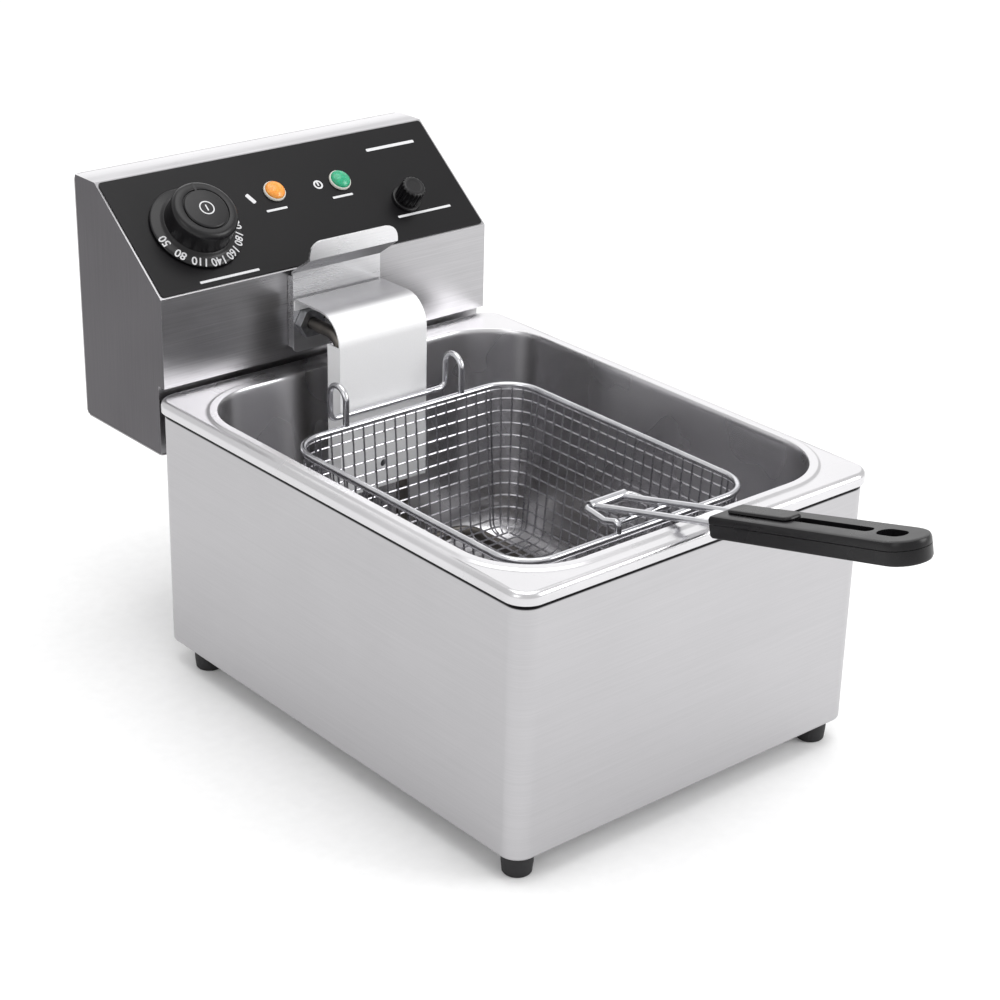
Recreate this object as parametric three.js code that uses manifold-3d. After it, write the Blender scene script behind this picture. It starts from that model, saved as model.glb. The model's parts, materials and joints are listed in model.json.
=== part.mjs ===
// Countertop electric deep fryer: a steel casing, a lift-out oil pan, a lift-off control head that
// carries the heating element, and a wire basket with a folding handle.
// Millimetres, +Z up, +Y to the back. Inside the "stand" group Y = 0 is the casing's front face.
import * as THREE from 'three';
import { mergeVertices } from 'three/addons/utils/BufferGeometryUtils.js';
import Module from 'manifold-3d';

const wasm = await Module();
wasm.setup();

// ---- Driving dimensions -----------------------------------------------------------------------
const past = 5; // how far a cutting tool runs past what it cuts
const sheet = 1.0; // folded steel of the casing and the head
const gap = 0.3; // between pieces that seat on each other
const slide_gap = 0.6; // between pieces that slide past each other

const casing_width = 268;
const casing_depth = 343;
const casing_height = 163;
const casing_corner = 12;
const casing_flange = 30; // turned in under the base plate

const foot_height = 16;
const foot_radius = 9.5;
const foot_inset_side = 15;
const foot_inset_front = 15;
const foot_inset_back = 26;
const foot_bore = 5.4; // hollow under the foot, for the screw's head
const foot_web = 4.2; // underside of the rubber that the screw's head bears on
const screw_radius = 2.2;
const screw_reach = 5; // past the top of the foot
const vent_pitch = 20;
const vent_columns = 7;
const vent_size = [5, 50];
const vent_row_spread = 90; // between the middles of the two rows

const rail_x = 70;
const rail_half = 14;
const rail_mouth = 7;
const rail_length = 57;
const rail_below_lip = 2;
const hook_thick = 1.6;
const rail_to_head = 1;

const pan_sheet = 1.0;
const pan_side_ledge = 10; // deck on each side of the opening
const pan_corner = 45;
const pan_front_ledge = 15; // deck between the casing's front face and the opening
const pan_back_ledge = 22;
const pan_floor_room = 19.3; // casing's lower edge to the pan's floor
const pan_draft = 4; // how far each wall leans in by the bottom
const pan_bottom_radius = 20;
const pan_bead = 1.2; // raised edge around the opening
const pan_edge_radius = 4; // pressed edge that leads down into the pan
const lip_drop = 7.5; // deck edge turned down over the casing
const lip_room = 1.2; // between that edge and the casing's wall
const deck_edge_radius = 2.8;

const head_side_step = 6; // the head stands in from the casing's sides
const head_height = 118; // from the deck to the flat top
const head_reach_down = 43; // the part that hangs behind the casing
const head_depth = 94.7; // front face to back cover
const head_top_depth = 24; // flat top
const head_face_height = 61.5; // vertical front face above the deck
const head_deck_gap = 3.7;
const head_opening_margin = 12;
const cover_screw_radius = 1.8;
const cover_screw_inset = [7, 8];
const cover_vent_size = [4, 24];
const cover_vent_pitch = 12;
const cover_vent_rows = [35, 69]; // below the flat top
const cover_vent_columns = 9;

const label_margin = 1.5; // to the slope's ends
const label_fold_margin = 1.25; // to the folds above and below
const label_thick = 0.5;

const bracket_width = 69; // hood, hanger and their bracket share one strip width
const bracket_thick = 1.5;
const bracket_stand_off = 6.3; // web in front of the head's face
const bracket_height = 53;
const hanger_reach = 18.5; // lip in front of the web
const hanger_rise = 13;
const hanger_lip = 11.5;
const hanger_corner = 9;
const hood_thick = 1.2;
const hood_reach = 48.7; // vertical part in front of the web
const hood_top_above_deck = 45;
const hood_bend = 20;
const hood_drop = 121; // top surface to the lower edge
const hood_side_depth = 13;
const hood_root_flange = 8; // turned down against the bracket's web
const hood_hole = { radius: 2.6, above_edge: 16 };

const tube_radius = 4;
const tube_exit_x = 24;
const tube_exit_above_deck = 28;
const tube_floor_gap = 8;
const tube_behind_hood = 6;
const tube_from_pan_end = 12;
const tube_turn_before_riser = 46;
const tube_inside_head = 30;
const nut_across = 17;
const nut_thick = 6;
const tube_inner_run_x = 28;
const tube_side_room = 20; // outer run to the pan's flat floor edge
const tube_bend = 14;
const bulb_radius = 3;
const capillary_radius = 1.2;
const capillary_x = 9;
const bulb_length = 100;
const bulb_before_riser = 60;
const clamp_width = 10;
const clamp_before_bulbs = 6.5;

const knob_place = [-80, 43];
const lamp_places = { orange: [-12, 57.5], green: [39, 55.5] };
const reset_place = [79, 31];
const shaft_radius = 3;
const bush_radius = 5;
const knob_skirt_radius = 30.2;
const knob_radius = 23;
const knob_height = 22;
const lamp_hole_radius = 5.2;
const lamp_rim_radius = 7.6;
const lens_radius = 6.6;
const reset_hole_radius = 6.2;
const reset_button_radius = 3;

const basket_side_room = 33.5; // rim wire centre to the pan's opening
const basket_front_room = 35;
const hook_to_hood = 2.8;
const basket_over_bulbs = 5.4;
const basket_corner = 24;
const basket_draft = 7;
const basket_wall = 1.6;
const basket_round = 7; // bend between the walls and the floor
const basket_below_deck = 17;
const rim_wire = 2; // wire radii
const hook_spread = 46; // half the distance between the hooks
const hook_reach = 16.5;
const hook_rise = 25;

const pivot_behind_rim = 30;
const pivot_above_rim = 5;
const bracket_bar_half = 16.5;
const handle_tilt = THREE.MathUtils.degToRad(14);
const handle_wire_x = 11;
const handle_length = 235;
const grip_start = 96;
const grip_half_width = 15;
const grip_below = 8.5; // under and over the wire plane
const grip_above = 5;
const grip_strip_rise = 1.8;
const grip_bevel = 2.2;
const grip_socket = 26; // how far the wires run into the grip
const grip_strip_size = [13, 46];
const hang_hole = { width: 11, length: 18, from_tip: 12 };
const grip_slot = { width: 7, length: 54, from_tip: 88, depth: 3 };

const gland_out = 14;
const gland_place = [70, 26]; // across, and up from the head's lower edge
const gland_radius = 8;
const gland_bore = 3.8;

// ---- Worked-out places ------------------------------------------------------------------------
const deck_z = foot_height + casing_height + gap + pan_sheet;
const pan_floor_z = foot_height + pan_floor_room;
const pan_width = casing_width - 2 * pan_side_ledge;
const pan_length = casing_depth - pan_front_ledge - pan_back_ledge;
const head_width = casing_width - 2 * head_side_step;
const rail_top_z = deck_z - lip_drop - rail_below_lip;
const rail_bottom_z = rail_top_z - rail_length;
const pan_middle_y = pan_front_ledge + pan_length / 2;
const face_y = casing_depth + gap;
const hook_y = casing_depth + lip_room + pan_sheet + slide_gap; // clear of the pan's lip
const rail_depth = hook_y + hook_thick + slide_gap + sheet - face_y;
const head_step = rail_depth + rail_to_head; // the lower front stands back to clear the rails
const face_bottom_z = deck_z + head_deck_gap;
const slope_z = deck_z + head_face_height;
const head_back_y = face_y + head_depth;
const slope_run = head_depth - head_top_depth;
const slope_rise = head_height - head_face_height;
const slope_angle = Math.atan2(slope_rise, slope_run);
const slope_length = Math.hypot(slope_run, slope_rise);
const head_bottom_z = deck_z - head_reach_down;
const web_y = face_y - bracket_stand_off;
const web_bottom_z = slope_z - bracket_height;
const hood_front_y = web_y - hood_reach;
const hood_top_z = deck_z + hood_top_above_deck;
const tube_z = deck_z + tube_exit_above_deck;
const tube_floor_z = pan_floor_z + tube_floor_gap + tube_radius;
const riser_y = hood_front_y + hood_thick + tube_behind_hood + tube_radius;
const tube_outer_run_x = pan_width / 2 - pan_draft - pan_bottom_radius - tube_side_room;
const bulb_z = tube_floor_z + tube_radius + bulb_radius + slide_gap;
const bulb_back_y = riser_y - bulb_before_riser;
const rim_z = deck_z - basket_below_deck;
const basket_depth = rim_z - bulb_z - bulb_radius - basket_over_bulbs;
const basket_width = pan_width - 2 * basket_side_room;
const basket_front = pan_front_ledge + basket_front_room; // rim wire centre
const basket_length = hood_front_y - hook_to_hood - rim_wire - hook_reach - basket_front;
const basket_middle_y = basket_front + basket_length / 2;
const pivot_y = basket_front + pivot_behind_rim;
const pivot_z = rim_z + pivot_above_rim;
const handle_tip_y = pivot_y - handle_length * Math.cos(handle_tilt)
  - (grip_below - grip_bevel) * Math.sin(handle_tilt);
const back_end_y = head_back_y + gland_out;
const gland_z = head_bottom_z + gland_place[1];
const middle_y = (handle_tip_y + back_end_y) / 2;

// ---- Finishes -----------------------------------------------------------------------------------
function finish(color, roughness, metalness) {
  return new THREE.MeshStandardMaterial({ color, roughness, metalness });
}
const brushed = finish(0xc4c3c4, 0.34, 1.0);
const dark_brushed = finish(0x7b797b, 0.36, 1.0);
const pan_steel = finish(0xb8b6b8, 0.28, 1.0);
const bright_strip = finish(0xdcdcdc, 0.2, 1.0);
const chrome_wire = finish(0xcfcfd0, 0.16, 1.0);
const zinc = finish(0xa8a8aa, 0.4, 1.0);
const element_steel = finish(0x6f6c68, 0.42, 1.0);
const label_black = finish(0x2a282c, 0.3, 0.0);
const black_plastic = finish(0x17161a, 0.42, 0.0);
const white_plastic = finish(0xd8d6cf, 0.45, 0.0);
const rubber = finish(0x131215, 0.7, 0.0);
const orange_lens = finish(0xe8a24a, 0.2, 0.0);
const green_lens = finish(0x25a87c, 0.2, 0.0);
const red_plastic = finish(0xb02a22, 0.4, 0.0);

// ---- Helpers --------------------------------------------------------------------------------------
// Positions only, with shared corners merged and no collapsed triangles.
function bare(geometry) {
  const copy = geometry.clone();
  for (const name of Object.keys(copy.attributes)) {
    if (name !== 'position') copy.deleteAttribute(name);
  }
  const merged = mergeVertices(copy, 1e-4);
  const kept = [];
  for (let i = 0; i < merged.index.count; i += 3) {
    const [a, b, c] = [0, 1, 2].map((k) => merged.index.getX(i + k));
    if (a !== b && b !== c && c !== a) kept.push(a, b, c);
  }
  merged.setIndex(kept);
  return merged;
}

function toManifold(geometry) {
  const merged = bare(geometry);
  return new wasm.Manifold(new wasm.Mesh({
    numProp: 3,
    vertProperties: new Float32Array(merged.attributes.position.array),
    triVerts: new Uint32Array(merged.index.array),
  }));
}

function toGeometry(manifold) {
  const mesh = manifold.getMesh();
  const geometry = new THREE.BufferGeometry();
  geometry.setAttribute('position', new THREE.BufferAttribute(mesh.vertProperties, 3));
  geometry.setIndex(new THREE.BufferAttribute(mesh.triVerts, 1));
  geometry.computeVertexNormals();
  return geometry;
}

function cut(geometry, ...tools) {
  let result = toManifold(geometry);
  for (const tool of tools) result = result.subtract(toManifold(tool));
  return toGeometry(result);
}

function join(geometry, ...others) {
  let result = toManifold(geometry);
  for (const other of others) result = result.add(toManifold(other));
  return toGeometry(result);
}

function common(geometry, other) {
  return toGeometry(toManifold(geometry).intersect(toManifold(other)));
}

function add(group, name, geometry, material) {
  const mesh = new THREE.Mesh(geometry, material);
  mesh.name = name;
  group.add(mesh);
  return mesh;
}

function outline(points) {
  return new THREE.Shape(points.map(([a, b]) => new THREE.Vector2(a, b)));
}

// An outline whose corners are rounded by arcs of the given radius.
function roundedOutline(points, radius, steps = 4) {
  const result = [];
  points.forEach((corner, i) => {
    const here = new THREE.Vector2(...corner);
    const before = new THREE.Vector2(...points[(i + points.length - 1) % points.length]);
    const after = new THREE.Vector2(...points[(i + 1) % points.length]);
    const size = Array.isArray(radius) ? radius[i] : radius;
    result.push(...filletPoints(before, here, after, size, steps));
  });
  return new THREE.Shape(result);
}

// Points of the arc that rounds one corner, in two or three dimensions.
function filletPoints(before, here, after, radius, steps) {
  if (radius <= 0) return [here];
  const back = before.clone().sub(here).normalize();
  const ahead = after.clone().sub(here).normalize();
  const half = Math.acos(THREE.MathUtils.clamp(back.dot(ahead), -1, 1)) / 2;
  if (Math.abs(half - Math.PI / 2) < 1e-6) return [here];
  const middle = back.clone().add(ahead).normalize();
  const centre = here.clone().addScaledVector(middle, radius / Math.sin(half));
  const toward = middle.clone().negate();
  const side = back.clone().sub(ahead).normalize();
  const sweep = Math.PI / 2 - half;
  const points = [];
  for (let i = 0; i <= steps; i++) {
    const angle = sweep * (1 - (2 * i) / steps);
    const point = centre.clone();
    point.addScaledVector(toward, radius * Math.cos(angle));
    point.addScaledVector(side, radius * Math.sin(angle));
    points.push(point);
  }
  return points;
}

function rectangle(width, height, x = 0, y = 0) {
  const [w, h] = [width / 2, height / 2];
  return [[x - w, y - h], [x + w, y - h], [x + w, y + h], [x - w, y + h]];
}

function extrudeZ(shape, from, to) {
  const geometry = new THREE.ExtrudeGeometry(shape, {
    depth: to - from, bevelEnabled: false, curveSegments: 12,
  });
  return geometry.translate(0, 0, from);
}

// The outline's axes are Y and Z, and the solid runs along X.
function extrudeX(shape, from, to) {
  const turn = new THREE.Matrix4().makeBasis(
    new THREE.Vector3(0, 1, 0), new THREE.Vector3(0, 0, 1), new THREE.Vector3(1, 0, 0));
  return extrudeZ(shape, from, to).applyMatrix4(turn);
}

// The outline's axes are X and Z, and the solid runs along Y.
function extrudeY(shape, from, to) {
  const turn = new THREE.Matrix4().makeBasis(
    new THREE.Vector3(1, 0, 0), new THREE.Vector3(0, 0, 1), new THREE.Vector3(0, -1, 0));
  return extrudeZ(shape, -to, -from).applyMatrix4(turn);
}

function block(x0, x1, y0, y1, z0, z1) {
  const geometry = new THREE.BoxGeometry(x1 - x0, y1 - y0, z1 - z0);
  return geometry.translate((x0 + x1) / 2, (y0 + y1) / 2, (z0 + z1) / 2);
}

// A turned piece: [radius, height] points from the axis round to the axis, or closed on itself.
function turned(profile, sides = 24) {
  const points = profile.map(([radius, height]) => new THREE.Vector2(radius, height));
  return outward(new THREE.LatheGeometry(points, sides).rotateX(Math.PI / 2));
}

function pin(radius, from, to, sides = 20) {
  return turned([[0, from], [radius, from], [radius, to], [0, to]], sides);
}

// The same geometry with its faces pointing out.
function outward(geometry) {
  const merged = bare(geometry);
  const index = merged.index.array;
  const corner = [0, 1, 2].map(() => new THREE.Vector3());
  let volume = 0;
  for (let i = 0; i < index.length; i += 3) {
    corner.forEach((point, k) => point.fromBufferAttribute(merged.attributes.position, index[i + k]));
    volume += corner[0].dot(corner[1].clone().cross(corner[2]));
  }
  if (volume < 0) {
    for (let i = 0; i < index.length; i += 3) {
      [index[i], index[i + 1]] = [index[i + 1], index[i]];
    }
  }
  merged.computeVertexNormals();
  return merged;
}

// A rounded rectangle in plan, as points at one height.
function planLoop(width, length, radius, y, z, steps = 7) {
  const corners = [[1, 1], [-1, 1], [-1, -1], [1, -1]];
  const size = Math.max(radius, 0.5);
  return corners.flatMap(([sx, sy], quarter) => {
    const points = [];
    for (let i = 0; i <= steps; i++) {
      const angle = ((quarter + i / steps) * Math.PI) / 2;
      points.push(new THREE.Vector3(
        sx * (width / 2 - size) + size * Math.cos(angle),
        y + sy * (length / 2 - size) + size * Math.sin(angle), z));
    }
    return points;
  });
}

// Skins loops of equal point counts. A ring joins its last loop to its first, and otherwise
// both ends are closed at their middle.
function skin(loops, ring = false) {
  const count = loops[0].length;
  const positions = loops.flat().flatMap((point) => point.toArray());
  const index = [];
  const rows = ring ? loops.length : loops.length - 1;
  for (let row = 0; row < rows; row++) {
    const next = (row + 1) % loops.length;
    for (let i = 0; i < count; i++) {
      const j = (i + 1) % count;
      const [a, b, c, d] = [row * count + i, row * count + j, next * count + i, next * count + j];
      index.push(a, b, d, a, d, c);
    }
  }
  if (!ring) {
    for (const row of [0, loops.length - 1]) {
      const middle = loops[row].reduce((sum, point) => sum.add(point), new THREE.Vector3());
      const centre = positions.length / 3;
      positions.push(...middle.divideScalar(count).toArray());
      for (let i = 0; i < count; i++) {
        const [a, b] = [row * count + i, row * count + ((i + 1) % count)];
        index.push(...(row === 0 ? [centre, b, a] : [centre, a, b]));
      }
    }
  }
  const geometry = new THREE.BufferGeometry();
  geometry.setAttribute('position', new THREE.Float32BufferAttribute(positions, 3));
  geometry.setIndex(index);
  return outward(geometry);
}

// A path of straight runs and arcs whose sections fall only where it bends.
class BentPath extends THREE.Curve {
  constructor(points) {
    super();
    this.points = points;
  }

  getPoint(t) {
    const place = THREE.MathUtils.clamp(t, 0, 1) * (this.points.length - 1);
    const i = Math.min(Math.floor(place), this.points.length - 2);
    return this.points[i].clone().lerp(this.points[i + 1], place - i);
  }

  getPointAt(u) {
    return this.getPoint(u);
  }

  getTangentAt(u) {
    const last = this.points.length - 1;
    const i = Math.round(u * last);
    const tangent = new THREE.Vector3();
    if (i > 0) tangent.add(this.points[i].clone().sub(this.points[i - 1]).normalize());
    if (i < last) tangent.add(this.points[i + 1].clone().sub(this.points[i]).normalize());
    return tangent.normalize();
  }
}

// A round wire or tube along corners that are bent to the given radius.
function wire(corners, radius, bend, sides = 8, steps = 5) {
  const points = corners.map((corner) => new THREE.Vector3(...corner));
  const path = points.flatMap((point, i) => {
    if (i === 0 || i === points.length - 1) return [point];
    const size = Array.isArray(bend) ? bend[i - 1] : bend;
    return filletPoints(points[i - 1], point, points[i + 1], size, steps);
  });
  const section = [];
  for (let i = 0; i < sides; i++) {
    const angle = (2 * Math.PI * i) / sides;
    section.push(new THREE.Vector2(radius * Math.cos(angle), radius * Math.sin(angle)));
  }
  return outward(new THREE.ExtrudeGeometry(new THREE.Shape(section), {
    steps: path.length - 1, bevelEnabled: false, extrudePath: new BentPath(path),
  }));
}

function hexPrism(across, from, to, bore) {
  const points = [];
  for (let i = 0; i < 6; i++) {
    const angle = (Math.PI * i) / 3;
    const reach = across / 2 / Math.cos(Math.PI / 6);
    points.push([reach * Math.cos(angle), reach * Math.sin(angle)]);
  }
  const shape = outline(points);
  shape.holes.push(new THREE.Path().absarc(0, 0, bore, 0, 2 * Math.PI, true));
  return extrudeZ(shape, from, to);
}

// ---- Casing ---------------------------------------------------------------------------------------
const foot_places = {};
for (const [side, sx] of [['left', -1], ['right', 1]]) {
  foot_places[`front_${side}`] = [sx * (casing_width / 2 - foot_inset_side), foot_inset_front];
  foot_places[`back_${side}`] = [sx * (casing_width / 2 - foot_inset_side),
    casing_depth - foot_inset_back];
}

function casingLoop(inset, z) {
  return planLoop(casing_width - 2 * inset, casing_depth - 2 * inset, casing_corner - inset,
    casing_depth / 2, z);
}

function footHoles() {
  return Object.values(foot_places).map(([x, y]) =>
    pin(screw_radius + gap, foot_height - past, foot_height + past, 12).translate(x, y, 0));
}

function casing() {
  const top = foot_height + casing_height;
  const walls = skin([
    casingLoop(0, foot_height), casingLoop(0, top), casingLoop(sheet, top),
    casingLoop(sheet, foot_height + sheet), casingLoop(sheet + casing_flange, foot_height + sheet),
    casingLoop(sheet + casing_flange, foot_height),
  ], true);
  return cut(walls, ...footHoles());
}

function basePlate() {
  const bottom = foot_height + sheet + gap;
  const width = casing_width - 2 * (sheet + slide_gap);
  const depth = casing_depth - 2 * (sheet + slide_gap);
  const plate = roundedOutline(rectangle(width, depth, 0, casing_depth / 2), casing_corner - sheet);
  const [half_slot, half_length] = vent_size.map((size) => size / 2);
  const slots = [];
  for (const row of [-1, 1]) {
    for (let i = 0; i < vent_columns; i++) {
      const x = (i - (vent_columns - 1) / 2) * vent_pitch;
      const y = casing_depth / 2 + (row * vent_row_spread) / 2;
      slots.push(block(x - half_slot, x + half_slot, y - half_length, y + half_length,
        bottom - past, bottom + past));
    }
  }
  return cut(extrudeZ(plate, bottom, bottom + sheet), ...slots, ...footHoles());
}

function foot() {
  const top = foot_height - gap;
  return turned([
    [screw_radius + gap, top], [screw_radius + gap, foot_web], [foot_bore, foot_web], [foot_bore, 0],
    [foot_radius - 1.8, 0], [foot_radius - 0.8, 1.2], [foot_radius, top],
    [screw_radius + gap, top],
  ], 20);
}

function footScrew() {
  return turned([
    [0, 0.9], [foot_bore - 1.2, 0.9], [foot_bore - 0.5, 1.8], [foot_bore - 0.5, foot_web - gap],
    [screw_radius, foot_web - gap], [screw_radius, foot_height + screw_reach],
    [0, foot_height + screw_reach],
  ], 12);
}

// C-shaped rails behind the casing, in which the head's hooks slide down.
function rail(x) {
  const inner = rail_half - sheet;
  const [back, front] = [face_y, face_y + rail_depth];
  const shape = outline([
    [-rail_half, back], [rail_half, back], [rail_half, front], [rail_mouth, front],
    [rail_mouth, front - sheet], [inner, front - sheet], [inner, back + sheet],
    [-inner, back + sheet], [-inner, front - sheet], [-rail_mouth, front - sheet],
    [-rail_mouth, front], [-rail_half, front],
  ]);
  return extrudeZ(shape, rail_bottom_z, rail_top_z).translate(x, 0, 0);
}

// ---- Oil pan --------------------------------------------------------------------------------------
function deckLoop(inset, z) {
  const grow = lip_room + pan_sheet - inset;
  return planLoop(casing_width + 2 * grow, casing_depth + 2 * grow, casing_corner + grow,
    casing_depth / 2, z);
}

function panLoop(inset, z) {
  return planLoop(pan_width - 2 * inset, pan_length - 2 * inset, pan_corner - inset,
    pan_middle_y, z);
}

// How far in and how far down an arc of unit radius has gone, at even steps from flat to upright.
function quarterArc(steps) {
  const places = [];
  for (let i = 0; i <= steps; i++) {
    const angle = (Math.PI / 2) * (i / steps);
    places.push([1 - Math.cos(angle), 1 - Math.sin(angle)]);
  }
  return places;
}

function oilPan() {
  const t = pan_sheet;
  const [r, edge, roll] = [pan_bottom_radius, pan_edge_radius, deck_edge_radius];
  const bead_z = deck_z + pan_bead;
  const inside = [
    deckLoop(0, deck_z - lip_drop),
    ...quarterArc(3).map(([out, down]) => deckLoop(roll * out, deck_z - roll * down)),
    panLoop(-edge - 3, deck_z), panLoop(-edge - 1, bead_z),
    ...quarterArc(3).reverse().map(([out, down]) => panLoop(-edge * out, bead_z - (edge + pan_bead) * down)),
    ...quarterArc(4).map(([out, down]) => panLoop(pan_draft + r * out, pan_floor_z + r * down)),
  ];
  const under = [
    ...quarterArc(4).reverse().map(([out, down]) =>
      panLoop(pan_draft + r * out - t * (1 - out), pan_floor_z + r * down - t * (1 - down))),
    panLoop(-t, deck_z - edge - t), panLoop(-edge, deck_z - t),
    ...quarterArc(3).reverse().map(([out, down]) =>
      deckLoop(t + (roll - t) * out, deck_z - t - (roll - t) * down)),
    deckLoop(t, deck_z - lip_drop),
  ];
  return skinShell(inside, under);
}

// A pressed shell: the inner skin runs in to its middle, the outer skin runs out again.
function skinShell(inside, under) {
  const loops = [...inside.slice().reverse(), ...under.slice().reverse()];
  return skin(loops);
}

// ---- Control head ---------------------------------------------------------------------------------
function headProfile(inset) {
  const steep = Math.tan((Math.PI / 2 - slope_angle) / 2);
  const shallow = Math.tan(slope_angle / 2);
  const lower_y = face_y + head_step + inset;
  const back = head_back_y - sheet - gap - inset;
  return outline([
    [lower_y, head_bottom_z + sheet + gap + inset], [lower_y, face_bottom_z + inset],
    [face_y + inset, face_bottom_z + inset], [face_y + inset, slope_z - inset * steep],
    [head_back_y - head_top_depth + inset * shallow, deck_z + head_height - inset],
    [back, deck_z + head_height - inset], [back, head_bottom_z + sheet + gap + inset],
  ]);
}

// The slope's own frame: X across, Y up the slope, Z out of the panel.
function slopeGroup() {
  const group = new THREE.Group();
  group.position.set(0, face_y, slope_z);
  group.rotation.x = slope_angle;
  return group;
}

function onSlope(geometry, [x, y]) {
  const group = slopeGroup();
  group.updateMatrix();
  return geometry.translate(x, y, 0).applyMatrix4(group.matrix);
}

const panel_holes = [
  [knob_place, bush_radius + gap], [lamp_places.orange, lamp_hole_radius],
  [lamp_places.green, lamp_hole_radius], [reset_place, reset_hole_radius],
];

const cover_screw_places = [];
for (const x of [-1, 1]) {
  for (const z of [head_bottom_z + cover_screw_inset[1], (head_bottom_z + deck_z + head_height) / 2,
    deck_z + head_height - cover_screw_inset[1]]) {
    cover_screw_places.push([x * (head_width / 2 - cover_screw_inset[0]), z]);
  }
}

function coverScrewHoles() {
  return cover_screw_places.map(([x, z]) => pin(cover_screw_radius + gap, -12, past, 10)
    .rotateX(-Math.PI / 2).translate(x, head_back_y, z));
}

function headShell() {
  const half = head_width / 2;
  const margin = head_opening_margin;
  const top_z = deck_z + head_height;
  const outer = extrudeX(headProfile(0), -half, half);
  const hollow = extrudeX(headProfile(sheet), -half + sheet, half - sheet);
  const back_window = block(-half + margin, half - margin, head_back_y - 20, head_back_y + past,
    head_bottom_z + margin, top_z - margin);
  const bottom_window = block(-half + margin, half - margin, face_y + head_step + margin,
    head_back_y - margin, head_bottom_z - past, head_bottom_z + past);
  const passage_half = tube_exit_x + tube_radius + slide_gap;
  const passage = block(-passage_half, passage_half, face_y - past, face_y + past,
    tube_z - 10, tube_z + 14);
  const holes = panel_holes.map(([place, radius]) => onSlope(pin(radius, -6, 4, 16), place));
  return cut(outer, hollow, back_window, bottom_window, passage, ...holes, ...coverScrewHoles());
}

function backCover() {
  const [low, high] = [head_bottom_z, deck_z + head_height];
  const plate = roundedOutline(rectangle(head_width, high - low, 0, (low + high) / 2), 3, 2);
  const [half_slot, half_length] = cover_vent_size.map((size) => size / 2);
  const vents = [];
  for (const below of cover_vent_rows) {
    for (let i = 0; i < cover_vent_columns; i++) {
      const x = (i - (cover_vent_columns - 1) / 2) * cover_vent_pitch;
      vents.push(block(x - half_slot, x + half_slot, head_back_y - past, head_back_y + past,
        high - below - half_length, high - below + half_length));
    }
  }
  const gland = pin(gland_radius + gap, -past, past, 16).rotateX(-Math.PI / 2)
    .translate(gland_place[0], head_back_y, gland_z);
  return cut(extrudeY(plate, head_back_y - sheet, head_back_y), gland, ...vents, ...coverScrewHoles());
}

function bottomPlate() {
  const y0 = face_y + head_step;
  const shape = roundedOutline(rectangle(head_width, head_back_y - sheet - gap - y0, 0,
    (y0 + head_back_y - sheet - gap) / 2), 2, 2);
  return extrudeZ(shape, head_bottom_z, head_bottom_z + sheet);
}

function coverScrew() {
  return turned([
    [0, -8], [cover_screw_radius, -8], [cover_screw_radius, gap], [3.6, gap], [3.4, 1.4],
    [2.2, 2.3], [0, 2.5],
  ], 12).rotateX(-Math.PI / 2);
}

function headHook(x) {
  const web_back = face_y + head_step - gap;
  const flange = rail_half - sheet - slide_gap;
  const neck = rail_mouth - slide_gap;
  const thick = hook_thick;
  const shape = outline([
    [-flange, hook_y], [flange, hook_y], [flange, hook_y + thick], [neck, hook_y + thick],
    [neck, web_back], [-neck, web_back], [-neck, hook_y + thick], [-flange, hook_y + thick],
  ]);
  return extrudeZ(shape, rail_bottom_z + 12, rail_top_z - 6).translate(x, 0, 0);
}

function panelLabel() {
  const half = head_width / 2 - label_margin;
  const shape = roundedOutline(rectangle(2 * half, slope_length - 2 * label_fold_margin, 0,
    slope_length / 2), 2, 2);
  const plate = extrudeZ(shape, gap, gap + label_thick);
  return cut(plate, ...panel_holes.map(([[x, y], radius]) =>
    pin(radius + gap, -1, 4, 16).translate(x, y, 0)));
}

// ---- Hanger and hood --------------------------------------------------------------------------------
function stripOutline(points, thick) {
  // A constant-thickness strip beside a chain of corners; the thickness lies to its right.
  const chain = points.map(([a, b]) => new THREE.Vector2(a, b));
  const side = chain.map((point, i) => {
    const normals = [];
    if (i > 0) normals.push(rightOf(chain[i - 1], point));
    if (i < chain.length - 1) normals.push(rightOf(point, chain[i + 1]));
    const mean = normals.reduce((sum, n) => sum.add(n), new THREE.Vector2()).normalize();
    return point.clone().addScaledVector(mean, thick / mean.dot(
      i > 0 ? rightOf(chain[i - 1], point) : rightOf(point, chain[i + 1])));
  });
  return new THREE.Shape([...chain, ...side.reverse()]);
}

function rightOf(from, to) {
  const way = to.clone().sub(from).normalize();
  return new THREE.Vector2(way.y, -way.x);
}

function hangerBracket() {
  const half = bracket_width / 2;
  const lip_y = web_y - hanger_reach;
  const top = slope_z + hanger_rise + hanger_lip;
  const strip = extrudeX(stripOutline([
    [web_y, web_bottom_z], [web_y, slope_z], [lip_y, slope_z + hanger_rise], [lip_y, top],
  ], bracket_thick), -half, half);
  const silhouette = roundedOutline([
    [-half, web_bottom_z], [half, web_bottom_z], [half, top], [-half, top],
  ], [3, 3, hanger_corner, hanger_corner], 5);
  const rounded = common(strip, extrudeY(silhouette, lip_y - 20, face_y));
  const sides = [-1, 1].map((side) => block(
    side > 0 ? half - bracket_thick : -half, side > 0 ? half : bracket_thick - half,
    web_y + 0.2, face_y - gap, web_bottom_z + 3, slope_z - 3));
  const holes = [-1, 1].flatMap((side) => [
    [side * tube_exit_x, tube_radius + gap], [side * capillary_x, capillary_radius + 0.8],
  ]).map(([x, radius]) => pin(radius, web_y - 5, web_y + 5, 16).rotateX(-Math.PI / 2)
    .translate(x, 0, tube_z));
  return cut(join(rounded, ...sides), ...holes);
}

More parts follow.
